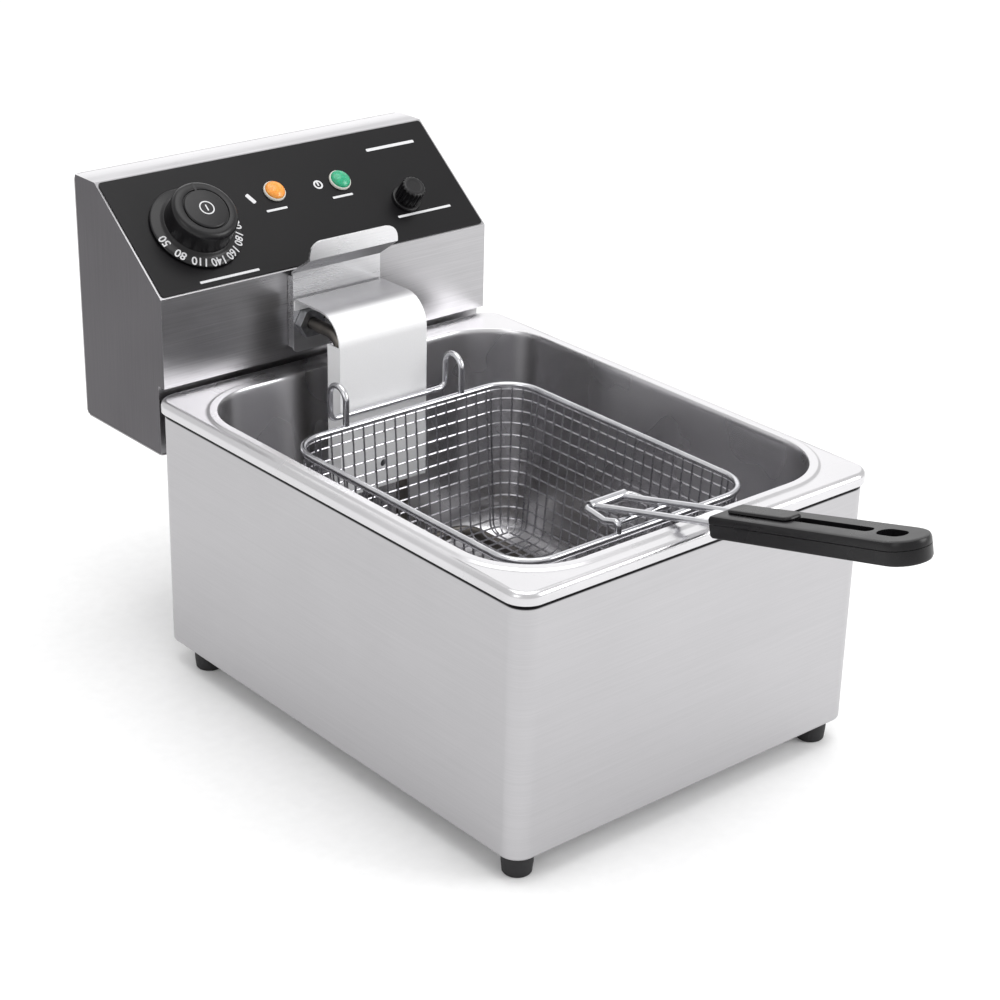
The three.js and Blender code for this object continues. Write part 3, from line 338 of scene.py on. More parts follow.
def drawn_wire_tree():
    """Sweeps a round section along every edge path of a mesh."""
    tree = geometry_tree("drawn wire", {"Wire radius": "Float", "Sides": "Int", "Finish": "Material"})
    given = node(tree, "NodeGroupInput").outputs
    paths = node(tree, "GeometryNodeMeshToCurve", {"Mesh": given["Geometry"]})
    section = node(tree, "GeometryNodeCurvePrimitiveCircle",
                   {"Resolution": given["Sides"], "Radius": given["Wire radius"]})
    swept = node(tree, "GeometryNodeCurveToMesh", {"Curve": paths.outputs["Curve"],
                                                   "Profile Curve": section.outputs["Curve"],
                                                   "Fill Caps": True})
    finish_shape(tree, swept.outputs["Mesh"], given["Finish"])
    return tree


def fastener_tree():
    """Puts one fastener on every point of a mesh, facing along the point's own direction."""
    tree = geometry_tree("fasteners on points",
                         {"Fastener": "Object", "Turn": "Float", "Finish": "Material"})
    given = node(tree, "NodeGroupInput").outputs
    head = node(tree, "GeometryNodeObjectInfo", {"Object": given["Fastener"]})
    facing = node(tree, "GeometryNodeInputNamedAttribute", {"Name": "facing"}, data_type="FLOAT_VECTOR")
    aligned = node(tree, "FunctionNodeAlignRotationToVector",
                   {"Vector": facing.outputs["Attribute"]}, axis="Z")
    number = node(tree, "GeometryNodeInputIndex")
    twist = node(tree, "ShaderNodeMath", {0: number.outputs[0], 1: given["Turn"]}, operation="MULTIPLY")
    spin = node(tree, "FunctionNodeAxisAngleToRotation",
                {"Axis": (0, 0, 1), "Angle": twist.outputs[0]})
    turned_head = node(tree, "FunctionNodeRotateRotation",
                       {"Rotation": aligned.outputs[0], "Rotate By": spin.outputs[0]},
                       rotation_space="LOCAL")
    placed = node(tree, "GeometryNodeInstanceOnPoints",
                  {"Points": given["Geometry"], "Instance": head.outputs["Geometry"],
                   "Rotation": turned_head.outputs[0]})
    finish_shape(tree, placed.outputs["Instances"], given["Finish"])
    return tree


def finish_shape(tree, geometry, finish):
    real = node(tree, "GeometryNodeRealizeInstances", {"Geometry": geometry})
    smooth = node(tree, "GeometryNodeSetShadeSmooth", {"Geometry": real.outputs["Geometry"]})
    painted = node(tree, "GeometryNodeSetMaterial",
                   {"Geometry": smooth.outputs["Geometry"], "Material": finish})
    node(tree, "NodeGroupOutput", {"Geometry": painted.outputs["Geometry"]})


def set_inputs(modifier, values):
    """Sets a modifier's inputs by their socket's identifier."""
    for item in modifier.node_group.interface.items_tree:
        if item.in_out == "INPUT" and item.name in values:
            modifier[item.identifier] = values[item.name]


DRAWN_WIRE = drawn_wire_tree()
FASTENERS = fastener_tree()


def wires(name, paths, radius, material, matrix=STAND, sides=12, crease=50):
    """Round wires along paths; a path given as (points, True) closes on itself."""
    points, edges = [], []
    for path, closed in paths:
        start = len(points)
        points += [matrix @ Vector(p) for p in path]
        edges += [(i, i + 1) for i in range(start, len(points) - 1)]
        if closed:
            edges.append((len(points) - 1, start))
    mesh = bpy.data.meshes.new(name)
    mesh.from_pydata(points, edges, [])
    piece = add_object(name, mesh)
    modifier = piece.modifiers.new("wire", "NODES")
    modifier.node_group = DRAWN_WIRE
    set_inputs(modifier, {"Wire radius": radius / MM, "Sides": sides, "Finish": material})
    apply_modifiers(piece)
    return outward(piece, crease)


def outward(piece, crease=50):
    shape = bmesh.new()
    shape.from_mesh(piece.data)
    bmesh.ops.recalc_face_normals(shape, faces=shape.faces)
    shape.to_mesh(piece.data)
    shape.free()
    piece.data.set_sharp_from_angle(angle=math.radians(crease))
    return piece


def fasteners(name, places, head, material):
    """Copies of one fastener's head at (point, direction) places."""
    mesh = bpy.data.meshes.new(name)
    mesh.from_pydata([STAND @ Vector(point) for point, _ in places], [], [])
    facing = mesh.attributes.new("facing", "FLOAT_VECTOR", "POINT")
    for item, (_, direction) in zip(facing.data, places):
        item.vector = direction
    piece = add_object(name, mesh)
    modifier = piece.modifiers.new("fasteners", "NODES")
    modifier.node_group = FASTENERS
    set_inputs(modifier, {"Fastener": head, "Turn": 0.9, "Finish": material})
    apply_modifiers(piece)
    return outward(piece, 35)


# ---- Materials ------------------------------------------------------------------------------------
def linear(code):
    """A linear colour from an sRGB hex value."""
    parts = [int(code[i:i + 2], 16) / 255 for i in (0, 2, 4)]
    return [c / 12.92 if c <= 0.04045 else ((c + 0.055) / 1.055) ** 2.4 for c in parts] + [1]


def start_material(name, **sockets):
    material = bpy.data.materials.new(name)
    material.use_nodes = True
    tree = material.node_tree
    shader = tree.nodes["Principled BSDF"]
    for socket, value in sockets.items():
        shader.inputs[socket.replace("_", " ")].default_value = value
    return material, tree, node(tree, "ShaderNodeTexCoord").outputs["Object"]


def grain(tree, place, fine_mm, detail, stretch=(1, 1, 1)):
    """Noise whose cells are fine_mm across, stretched along chosen axes by (x, y, z) factors."""
    mapped = node(tree, "ShaderNodeMapping", {"Vector": place, "Scale": [1 / s for s in stretch]})
    return node(tree, "ShaderNodeTexNoise", {"Vector": mapped.outputs[0], "Scale": MM / fine_mm,
                                             "Detail": detail, "Roughness": 0.6}).outputs["Fac"]


def spread(tree, value, low_value, high_value, centre=0.5, width=0.25):
    """Spreads a noise value between two amounts."""
    return node(tree, "ShaderNodeMapRange", {"Value": value, "From Min": centre - width,
                                             "From Max": centre + width, "To Min": low_value,
                                             "To Max": high_value}).outputs["Result"]


def blend(tree, share, first, second):
    """Mixes two colours, each a value or a socket."""
    return node(tree, "ShaderNodeMix", {0: share, 6: first, 7: second}, data_type="RGBA").outputs[2]


def tint(tree, value, dark, light, centre=0.5, width=0.25):
    """A colour that goes from dark to light with a noise value."""
    return blend(tree, spread(tree, value, 0, 1, centre, width), linear(dark), linear(light))


def finished(material, colour, roughness, height=None, depth_mm=0.0):
    """Links a material's colour, roughness and, where it has one, its surface relief."""
    tree = material.node_tree
    shader = tree.nodes["Principled BSDF"]
    tree.links.new(colour, shader.inputs["Base Color"])
    tree.links.new(roughness, shader.inputs["Roughness"])
    if height is not None:
        relief = node(tree, "ShaderNodeBump", {"Height": height, "Distance": depth_mm / MM})
        tree.links.new(relief.outputs["Normal"], shader.inputs["Normal"])
    return material


def painted_shadow_line(tree, place, colour, middle, half):
    """Paints a shadow along one height: darkens the colour where shade falls in the gap under an
    overhanging edge.
    """
    height = node(tree, "ShaderNodeSeparateXYZ", {0: place}).outputs["Z"]
    away = node(tree, "ShaderNodeMath", {0: height, 1: middle / MM}, operation="SUBTRACT").outputs[0]
    away = node(tree, "ShaderNodeMath", {0: away}, operation="ABSOLUTE").outputs[0]
    shadow_share = node(tree, "ShaderNodeMapRange", {"Value": away, "From Min": half / MM,
                                             "From Max": 0.6 * half / MM}).outputs["Result"]
    return blend(tree, shadow_share, colour, linear("141315"))


def brushed_stainless(name, dark, light, rough, along="X", painted_shadow=None):
    """Satin stainless sheet, belt-brushed: fine straight lines that blur reflections along one way.
    The real lines are about 0.1 mm apart; they are drawn at 0.7 mm so that they just show."""
    material, tree, place = start_material(name, Metallic=1.0)
    stretch = {"X": (80, 1, 1), "Z": (1, 1, 80), "XY": (80, 80, 1)}[along]
    lines = grain(tree, place, 0.7, 4.0, stretch)
    smudge = grain(tree, place, 60, 2.0)
    colour = tint(tree, lines, dark, light)
    # Painted shadow: a dark line along one height, standing in for the shade under the deck's lip.
    if painted_shadow:
        colour = painted_shadow_line(tree, place, colour, *painted_shadow)
    mixed = node(tree, "ShaderNodeMath", {0: spread(tree, lines, -0.025, 0.025),
                                          1: spread(tree, smudge, rough - 0.03, rough + 0.04)},
                 operation="ADD").outputs[0]
    return finished(material, colour, mixed, lines, 0.001)


def deep_drawn_stainless():
    """Deep-drawn stainless sheet, bright-annealed: smooth and softly mirrored, with broad handling marks
    and a faint orange peel where the sheet was stretched."""
    material, tree, place = start_material("deep_drawn_stainless", Metallic=1.0)
    marks = grain(tree, place, 70, 2.0)
    peel = grain(tree, place, 1.2, 1.0)
    return finished(material, tint(tree, marks, "cccbcd", "d6d5d7"),
                    spread(tree, marks, 0.24, 0.31), peel, 0.0006)


def blasted_stainless():
    """Glass-bead blasted stainless strip: a pale, even matt that scatters light at every angle. The hood's
    level top
    is painted dark grey: a painted reflection of the dark control panel above it."""
    material, tree, place = start_material("bead_blasted_stainless", Metallic=0.12)
    beads = grain(tree, place, 0.5, 2.0)
    marks = grain(tree, place, 35, 2.0)
    # Painted reflection: the top 2.5 mm up to the hood's level top turn dark grey, standing in for the dark
    # panel reflected there.
    height = node(tree, "ShaderNodeSeparateXYZ", {0: place}).outputs["Z"]
    film = node(tree, "ShaderNodeMapRange", {"Value": height, "From Min": (HOOD_TOP - 2.5) / MM,
                                             "From Max": HOOD_TOP / MM}).outputs["Result"]
    clean = tint(tree, beads, "efeff0", "f8f8f9")
    dull = tint(tree, marks, "77767a", "9a999c")
    return finished(material, blend(tree, film, clean, dull),
                    spread(tree, marks, 0.4, 0.5), beads, 0.004)


def plated_wire(name, dark, light, rough):
    """Drawn steel wire, nickel plated: faint draw marks and dull spots."""
    material, tree, place = start_material(name, Metallic=1.0)
    marks = grain(tree, place, 0.8, 3.0)
    dull = grain(tree, place, 14, 2.0)
    return finished(material, tint(tree, dull, dark, light),
                    spread(tree, marks, rough, rough + 0.12), marks, 0.01)


def zinc_plated_steel():
    """Pressed mild steel with clear zinc plate: grey, slightly cloudy spangle."""
    material, tree, place = start_material("zinc_plated_steel", Metallic=1.0)
    cloud = grain(tree, place, 4, 4.0)
    fine = grain(tree, place, 0.6, 2.0)
    return finished(material, tint(tree, cloud, "8f8f93", "b9babd"),
                    spread(tree, cloud, 0.3, 0.48), fine, 0.01)


def element_steel():
    """Stainless tube that has been hot: straw and blue-grey heat tint in bands along the tube."""
    material, tree, place = start_material("heat_tinted_stainless", Metallic=1.0)
    band = grain(tree, place, 30, 3.0)
    fine = grain(tree, place, 1.0, 3.0)
    return finished(material, tint(tree, band, "5b5958", "7d7871"),
                    spread(tree, fine, 0.3, 0.5), fine, 0.02)


def panel_film():
    """Printed polycarbonate film: near-black under a satin-gloss face with faint orange peel."""
    material, tree, place = start_material("printed_polycarbonate_film", IOR=1.5,
                                           Specular_IOR_Level=0.2)
    peel = grain(tree, place, 1.6, 2.0)
    cloud = grain(tree, place, 45, 2.0)
    return finished(material, tint(tree, cloud, "0b0a0c", "0f0e10"),
                    spread(tree, peel, 0.34, 0.4), peel, 0.006)


def printed_ink():
    """Screen-printed white ink: matt, a little uneven."""
    material, tree, place = start_material("screen_printed_ink")
    patchy = grain(tree, place, 0.5, 3.0)
    return finished(material, tint(tree, patchy, "b9b9bc", "dededf"), spread(tree, patchy, 0.45, 0.6))


def moulded_plastic(name, dark, light, rough, gloss=0.5, texture_mm=0.7, depth=0.02):
    """Moulded plastic: a fine spark-eroded texture with slightly shinier patches where it is handled."""
    material, tree, place = start_material(name, IOR=1.5, Specular_IOR_Level=gloss)
    texture = grain(tree, place, texture_mm, 3.0)
    handled = grain(tree, place, 25, 2.0)
    return finished(material, tint(tree, texture, dark, light),
                    spread(tree, handled, rough - 0.07, rough + 0.05), texture, depth)


def foot_rubber():
    """Moulded rubber: black, dull, with faint patchy dust."""
    material, tree, place = start_material("moulded_rubber", IOR=1.52)
    dust = grain(tree, place, 3, 4.0)
    return finished(material, tint(tree, dust, "0e0d0f", "1d1c1f"),
                    spread(tree, dust, 0.6, 0.8), dust, 0.05)


def tinted_lens(name, dark, light):
    """Moulded acrylic lens with a pebbled inner face that scatters its colour."""
    material, tree, place = start_material(name, IOR=1.49, Coat_Weight=0.15, Coat_Roughness=0.15,
                                           Subsurface_Weight=0.25, Subsurface_Scale=0.003)
    pebble = node(tree, "ShaderNodeTexVoronoi", {"Vector": place, "Scale": MM / 1.4}).outputs["Distance"]
    return finished(material, tint(tree, pebble, light, dark, 0.4, 0.35),
                    spread(tree, pebble, 0.16, 0.3), pebble, 0.05)


UNDER_LIP = (DECK - LIP_DROP - 1.5, 2.0)  # middle and half height of the painted shadow line under the lip
CASING_STEEL = brushed_stainless("satin_stainless_casing", "b4b3b5", "bcbbbd", 0.4, "XY", UNDER_LIP)
HEAD_STEEL = brushed_stainless("satin_stainless_head", "a2a1a3", "b4b3b5", 0.3, "X")
# The head's sides and level top are shaded and lit copies of the head's one steel: painted shade on the
# sides, painted light on the top.
SHADED_SIDE_STEEL = brushed_stainless("dull_stainless_side", "565457", "626063", 0.42, "Z")
LIT_TOP_STEEL = brushed_stainless("bright_stainless_top", "cccbcd", "d8d7d9", 0.3, "X")
COVER_STEEL = brushed_stainless("plain_stainless_cover", "a09ea0", "b2b0b2", 0.4, "X")
STRIP_STEEL = brushed_stainless("satin_stainless_strip", "d2d2d4", "dededf", 0.28, "X")
PAN_STEEL = deep_drawn_stainless()
BLASTED_STEEL = blasted_stainless()
PLATED_WIRE = plated_wire("nickel_plated_wire", "bebec2", "d6d6d9", 0.12)
MESH_PLATING = plated_wire("dull_plated_mesh_wire", "a3a2a6", "bebdc1", 0.22)
ZINC = zinc_plated_steel()
ELEMENT = element_steel()
FILM = panel_film()
INK = printed_ink()
KNOB_PLASTIC = moulded_plastic("moulded_phenolic_knob", "0c0b0d", "131214", 0.32, 0.35)
GRIP_PLASTIC = moulded_plastic("moulded_heatproof_grip", "0c0b0d", "131214", 0.3, 0.3, 0.9)
NYLON = moulded_plastic("moulded_nylon", "121113", "1b1a1c", 0.5)
WHITE_PLASTIC = moulded_plastic("moulded_urea_plastic", "cfcdc6", "dcdad3", 0.45)
RED_PLASTIC = moulded_plastic("moulded_red_button", "a12620", "b93128", 0.3)
RUBBER = foot_rubber()
ORANGE = tinted_lens("orange_acrylic_lens", "dd8a2a", "eda348")
GREEN = tinted_lens("green_acrylic_lens", "1a9168", "2fae83")


# ---- Casing and feet ------------------------------------------------------------------------------
def casing_loop(inset, z):
    return plan_loop(CASING_WIDTH - 2 * inset, CASING_DEPTH - 2 * inset,
                     max(CASING_CORNER - inset, 0.5), CASING_DEPTH / 2, z)


def make_casing():
    fold = 1.6
    rows = [casing_loop(fold - y, CASING_LOW + fold - x) for x, y in arc(fold, 0, 90, 5)]
    rows += [casing_loop(0, z) for z in (CASING_LOW + 8, CASING_TOP - 8)]
    rows += [casing_loop(0.5 - x, CASING_TOP - 0.5 + y) for x, y in arc(0.5, 0, 90, 3)]
    rows += [casing_loop(SHEET, CASING_TOP), casing_loop(SHEET, CASING_LOW + SHEET),
             casing_loop(SHEET + CASING_FLANGE, CASING_LOW + SHEET),
             casing_loop(SHEET + CASING_FLANGE, CASING_LOW)]
    piece = add_piece("casing_walls", [loft(rows, ring=True)], STAND, CASING_STEEL)
    stands_for(piece, "casing", "casing_steel", "casing")


def foot_places():
    return {name: ((low(name) + high(name)) / 2).xy - Vector((0, FRONT)) for name in frame["nodes"]
            if name.startswith(("foot_front", "foot_back"))}


def make_feet():
    top = CASING_LOW - GAP
    body = turned([(SCREW_RADIUS + GAP, top), (SCREW_RADIUS + GAP, 4.2), (5.4, 4.2), (5.4, 0.5), (5.8, 0),
                   (FOOT_RADIUS - 2, 0), (FOOT_RADIUS - 1.4, 0.2), (FOOT_RADIUS - 0.9, 0.9),
                   (FOOT_RADIUS - 0.3, 7), (FOOT_RADIUS, top - 1), (FOOT_RADIUS - 0.2, top),
                   (SCREW_RADIUS + GAP, top)], 48)
    for name, (x, y) in foot_places().items():
        piece = add_piece(name + "_rubber", [body], STAND @ Matrix.Translation((x, y, 0)), RUBBER)
        stands_for(piece, "casing", "foot_rubber", name)


def cross_head(radius, height, name):
    """The head of a cross-recess screw, facing +Z, in metres: a turned dome with a sunk cross."""
    sides = 32
    rows = [(radius, 0), (radius, 0.25 * height), (0.93 * radius, 0.55 * height),
            (0.75 * radius, 0.85 * height), (0.55 * radius, height), (0.5 * radius, height)]
    points, faces = turned([(0, 0)] + rows + [(0, height)], sides)
    head = add_piece(name, [(points, faces)], Matrix.Scale(1 / MM, 4), None)
    arm, width = 0.55 * radius / MM, 0.13 * radius / MM
    cutters = []
    for half_x, half_y in ((arm, width), (width, arm)):
        bpy.ops.mesh.primitive_cube_add(size=2, location=(0, 0, height / MM))
        cutter = bpy.context.object
        cutter.scale = (half_x, half_y, 0.45 * height / MM)
        cut = head.modifiers.new("cross", "BOOLEAN")
        cut.object, cut.operation, cut.solver = cutter, "DIFFERENCE", "EXACT"
        cutters.append(cutter)
    apply_modifiers(head)
    for cutter in cutters:
        bpy.data.objects.remove(cutter)
    head.hide_render = True
    return head


def make_screws():
    small = cross_head(3.6, 2.4, "cover_screw_head")
    back = [(((low(n) + high(n)) / 2).x, HEAD_BACK + GAP, ((low(n) + high(n)) / 2).z)
            for n in sorted(frame["nodes"]) if n.startswith("cover_screw")]
    piece = fasteners("cover_screws", [(p, (0, 1, 0)) for p in back], small, ZINC)
    stands_for(piece, "head", "zinc_steel", *[n for n in frame["nodes"] if n.startswith("cover_screw")])
    wide = cross_head(4.9, 2.6, "foot_screw_head")
    under = [((x, y, 3.9), (0, 0, -1)) for x, y in foot_places().values()]
    piece = fasteners("foot_screws", under, wide, ZINC)
    stands_for(piece, "casing", "zinc_steel", *[n for n in frame["nodes"] if n.startswith("foot_screw")])
    for head in (small, wide):
        bpy.data.objects.remove(head)


# ---- Oil pan --------------------------------------------------------------------------------------
def deck_loop(inset, z):
    grow = LIP_ROOM + SHEET - inset
    return plan_loop(CASING_WIDTH + 2 * grow, CASING_DEPTH + 2 * grow, max(CASING_CORNER + grow, 0.5),
                     CASING_DEPTH / 2, z)


def pan_loop(inset, z):
    return plan_loop(PAN_SIZE[0] - 2 * inset, PAN_SIZE[1] - 2 * inset, PAN_CORNER - inset, PAN_MIDDLE, z)


def make_pan():
    floor = DECK - PAN_DEPTH
    r, edge, roll = PAN_FLOOR_RADIUS, PAN_EDGE, DECK_ROLL
    upper = [deck_loop(0.25, DECK - LIP_DROP), deck_loop(0, DECK - LIP_DROP + 0.35)]
    upper += [deck_loop(roll - x, DECK - roll + y) for x, y in arc(roll, 0, 90, 7)]
    upper += [pan_loop(-edge - 5, DECK)]
    upper += [pan_loop(-edge - 4.4 + 3.0 * t, DECK + PAN_BEAD * (3 * t * t - 2 * t ** 3))
              for t in (0.2, 0.4, 0.6, 0.8, 1)]
    drop = edge + PAN_BEAD
    upper += [pan_loop(-0.35 * edge * (1 - math.sin(a)), DECK + PAN_BEAD - drop * (1 - math.cos(a)))
              for a in map(math.radians, range(0, 91, 15))]
    upper += [pan_loop(PAN_DRAFT * t, DECK - edge - t * (PAN_DEPTH - edge - r)) for t in (0.33, 0.66)]
    upper += [pan_loop(PAN_DRAFT + r - r * math.cos(a), floor + r - r * math.sin(a))
              for a in map(math.radians, range(0, 91, 10))]
    under = [pan_loop(PAN_DRAFT + r + 2, floor - SHEET),
             pan_loop(PAN_DRAFT + r * 0.6, floor + r * 0.08 - SHEET),
             pan_loop(PAN_DRAFT + 0.29 * r - SHEET * 0.7, floor + r * 0.29 - SHEET * 0.7),
             pan_loop(PAN_DRAFT - SHEET, floor + r), pan_loop(-SHEET, DECK - edge - SHEET),
             pan_loop(-edge, DECK - SHEET)]
    under += [deck_loop(roll - x, DECK - roll + y) for x, y in arc(roll - SHEET, 90, 0, 4)]
    under += [deck_loop(SHEET, DECK - LIP_DROP)]
    piece = add_piece("drawn_pan", [loft(upper[::-1] + under[::-1])], STAND, PAN_STEEL, crease=40)
    stands_for(piece, "pan", "pan_steel", "oil_pan")


# ---- Control head ---------------------------------------------------------------------------------
def make_head():
    shell = softened("head_shell", HEAD_STEEL, 0.8, 40, 3)
    shell.data.materials.append(SHADED_SIDE_STEEL)
    shell.data.materials.append(LIT_TOP_STEEL)
    # Sideways faces take the painted-shade copy, the level top takes the painted-light copy.
    for face in shell.data.polygons:
        if abs(face.normal.x) > 0.95:
            face.material_index = 1
        elif face.normal.z > 0.95:
            face.material_index = 2
    stands_for(shell, "head", "head_steel", "head_shell")
    for name, material, slot in (("head_back_cover", COVER_STEEL, "cover_steel"),
                                 ("head_bottom_plate", COVER_STEEL, "cover_steel"),
                                 ("head_hook_left", ZINC, "zinc_steel"),
                                 ("head_hook_right", ZINC, "zinc_steel")):
        stands_for(softened(name, material, 0.2), "head", slot, name)
    for name in ("head_rail_left", "head_rail_right"):
        stands_for(softened(name, ZINC, 0.2), "casing", "zinc_steel", name)
    stands_for(softened("panel_label", FILM, 0.12), "head", "panel_film", "panel_label")


def make_hanger():
    for name, material in (("hanger_bracket", STRIP_STEEL), ("element_hood", BLASTED_STEEL)):
        stands_for(softened(name, material, 0.35, 35, 3), "head", "polished_strip", name)


def make_element():
    """One tube out of the head, down under the hood and round the pan's floor, and two sensing bulbs."""
    z, floor = DECK + TUBE_EXIT[1], DECK - PAN_DEPTH + 8 + TUBE_RADIUS
    riser = low("element_hood").y - FRONT + HOOD_SHEET + 6 + TUBE_RADIUS
    far, turn = PAN_FRONT + PAN_DRAFT + PAN_FLOOR_RADIUS + 12, riser - TUBE_TURN
    half = [(TUBE_EXIT[0], FACE + 30, z), (TUBE_EXIT[0], riser, z), (TUBE_EXIT[0], riser, floor),
            (TUBE_OUTER_RUN, riser, floor), (TUBE_OUTER_RUN, far, floor), (TUBE_INNER_RUN, far, floor),
            (TUBE_INNER_RUN, turn, floor)]
    mirrored = [(-x, y, h) for x, y, h in reversed(half)]
    end_bend = (TUBE_OUTER_RUN - TUBE_INNER_RUN) / 2 - 0.01
    bends = [TUBE_BEND] * 3 + [end_bend, end_bend, TUBE_INNER_RUN - 0.01]
    path = bend(half + mirrored, bends + bends[::-1], 14)
    piece = wires("element_tube", [(path, False)], TUBE_RADIUS, ELEMENT, sides=24)
    stands_for(piece, "head", "element_steel", "heating_element")
    for name in ("element_nut_left", "element_nut_right", "element_clamp"):
        stands_for(softened(name, ZINC, 0.4), "head", "zinc_steel", name)
    lie, end = floor + TUBE_RADIUS + BULB_RADIUS + SLIDE_GAP, riser - BULB_BEFORE_RISER
    r, length = BULB_RADIUS, BULB_LENGTH
    for name, x in (("thermostat_bulb", -CAPILLARY_X), ("limit_bulb", CAPILLARY_X)):
        capillary = bend([(x, FACE + 20, z), (x, riser + 2, z), (x, riser + 2, lie), (x, end - 5, lie)],
                         [6, 6], 8)
        tube = wires(name + "_tube", [(capillary, False)], CAPILLARY_RADIUS, ZINC, sides=12)
        bulb = turned([(0, 0), (r - 1, 0), (r - 0.3, 0.6), (r, 1.5), (r, length - 1.5),
                       (r - 0.3, length - 0.6), (r - 1, length), (0, length)], 32)
        shape = add_piece(name + "_body", [bulb], STAND @ Matrix.Translation((x, end, lie))
                          @ Matrix.Rotation(math.pi / 2, 4, "X"), ZINC)
        stands_for(tube, "head", "zinc_steel")
        stands_for(shape, "head", "zinc_steel", name)


# ---- Controls -------------------------------------------------------------------------------------
def make_knob():
    base, top, r, skirt = LABEL_TOP + SLIDE_GAP, KNOB_HEIGHT, KNOB_RADIUS, KNOB_SKIRT
    profile = [(0, base + 0.4), (9, base + 0.4), (9, base), (skirt - 0.8, base), (skirt - 0.2, base + 0.25),
               (skirt, base + 0.7), (skirt - 0.1, base + 1.3), (skirt - 0.7, base + 1.9),
               (skirt - 2.0, base + 2.3), (r + 2.2, base + 3.0), (r + 0.9, base + 3.5),
               (r + 0.2, base + 4.4)]
    profile += [(r - 0.8 - 0.6 * t, base + 5 + t * (top - base - 9)) for t in (0, 0.5, 1)]
    profile += [(r - 5 + 3.7 * math.cos(a), top - 3.7 + 3.7 * math.sin(a))
                for a in map(math.radians, range(0, 91, 15))]
    profile += [(15.6, top), (15.1, top - 0.3), (14.9, top - 0.9), (0, top - 0.9)]
    body = turned(profile, 96)
    piece = add_piece("knob_body", [body], on_slope(KNOB_PLACE), KNOB_PLASTIC, crease=50)
    stands_for(piece, "knob", "control_plastic", "knob")
    cap = turned([(0, top - 0.6), (14.4, top - 0.6), (14.4, top - 0.2), (14.0, top + 0.3),
                  (13.2, top + 0.6), (0, top + 0.9)], 72)
    stands_for(add_piece("knob_cap_disc", [cap], on_slope(KNOB_PLACE), KNOB_PLASTIC), "knob",
               "control_plastic", "knob_cap")
    notch = bar_mark(1.6, 5.5, (0, r - 6), top + 0.02)
    stands_for(add_piece("knob_notch", [notch], on_slope(KNOB_PLACE), NYLON), "knob", "control_plastic")


def bar_mark(width, length, place, height):
    """A thin printed bar with rounded corners."""
    radius = min(width, length) * 0.3

    def loop(z):
        return [(x + place[0], y + place[1], z) for x, y, _ in plan_loop(width, length, radius, 0, 0, 4)]
    return loft([loop(height), loop(height + PRINT_THICK)])


def ring_mark(inner, outer, place, height):
    """A thin printed ring."""
    def loop(radius, z):
        return [(x, y, z) for x, y in arc(radius, 0, 360, 64, place)[:-1]]
    return loft([loop(outer, height), loop(inner, height), loop(inner, height + PRINT_THICK),
                 loop(outer, height + PRINT_THICK)], ring=True)


def numeral(text, size, matrix):
    """The outline of a generic number as a thin solid, already placed."""
    curve = bpy.data.curves.new("number", "FONT")
    curve.body, curve.size, curve.align_x, curve.align_y = text, size, "CENTER", "CENTER"
    curve.extrude, curve.offset, curve.resolution_u = 0.05, 0.12, 4
    letters = add_object("number", curve)
    bpy.context.view_layer.update()
    mesh = bpy.data.meshes.new_from_object(letters.evaluated_get(bpy.context.evaluated_depsgraph_get()))
    points = [matrix @ v.co for v in mesh.vertices]
    faces = [tuple(p.vertices) for p in mesh.polygons]
    bpy.data.objects.remove(letters)
    bpy.data.meshes.remove(mesh)
    return points, faces


def make_dial_print():
    """Numbers round the knob's skirt and a plain ring mark on its cap."""
    height = LABEL_TOP + SLIDE_GAP + 2.62
    parts = []
    middle = (KNOB_RADIUS + KNOB_SKIRT) / 2 + 0.6
    for i, text in enumerate(("50", "80", "110", "140", "160", "180", "200")):
        angle = math.radians(-168 + NUMBER_STEP * i)
        turn = Matrix.Rotation(angle - math.pi / 2, 4, "Z") @ Matrix.Rotation(-SKIRT_FALL, 4, "X")
        spot = Matrix.Translation((middle * math.cos(angle), middle * math.sin(angle), height))
        parts.append(numeral(text, NUMBER_SIZE, spot @ turn))
    cap = KNOB_HEIGHT + 0.86
    parts += [ring_mark(4.2, 5.0, (0, 0), cap), bar_mark(0.9, 4.6, (0, 0), cap)]
    piece = add_piece("dial_numbers", parts, on_slope(KNOB_PLACE), INK)
    stands_for(piece, "knob", "panel_film")


def make_panel_print():
    """Plain bars and rings where a maker prints its words, and the dial's pointer."""
    x, y = LAMP_SIGN_PLACE
    parts = [bar_mark(length, width, place, LABEL_TOP) for length, width, place in PRINTED_BARS]
    parts += [ring_mark(2.2, 3.4, (x, y), LABEL_TOP), bar_mark(1.2, 3.2, (x, y + 0.6), LABEL_TOP)]
    points, faces = bar_mark(3.0, 8.0, (0, 0), 0)
    turn = Matrix.Translation((*POINTER_PLACE, LABEL_TOP)) @ Matrix.Rotation(math.radians(24), 4, "Z")
    parts.append(([turn @ Vector(p) for p in points], faces))
    piece = add_piece("panel_print", parts, SLOPE, INK)
    stands_for(piece, "head", "panel_film")


def make_lamps():
    low_z, rim, r = LABEL_TOP + GAP, LAMP_RIM, LENS_RADIUS
    ring = turned([(rim - 0.7, low_z), (rim, low_z), (rim, low_z + 0.8), (rim - 0.15, low_z + 1.15),
                   (rim - 0.4, low_z + 1.3), (rim - 0.65, low_z + 1.2), (rim - 0.7, low_z + 1),
                   (rim - 0.7, low_z)], 64)
    lens = turned([(0, low_z + 0.4), (r, low_z + 0.4), (r, low_z + 1.8), (r - 0.35, low_z + 2.6),
                   (r - 1.35, low_z + 3.4), (r - 2.95, low_z + 4.1), (r - 4.85, low_z + 4.5),
                   (0, low_z + 4.6)], 64)
    for name, lens_material in (("orange", ORANGE), ("green", GREEN)):
        place = on_slope(LAMP_PLACES[name])
        stands_for(add_piece(f"lamp_{name}_bezel", [ring], place, WHITE_PLASTIC), "head", "white_plastic")
        piece = add_piece(f"lamp_{name}_dome", [lens], place, lens_material)
        stands_for(piece, "head", name + "_lens", f"lamp_{name}_lens")


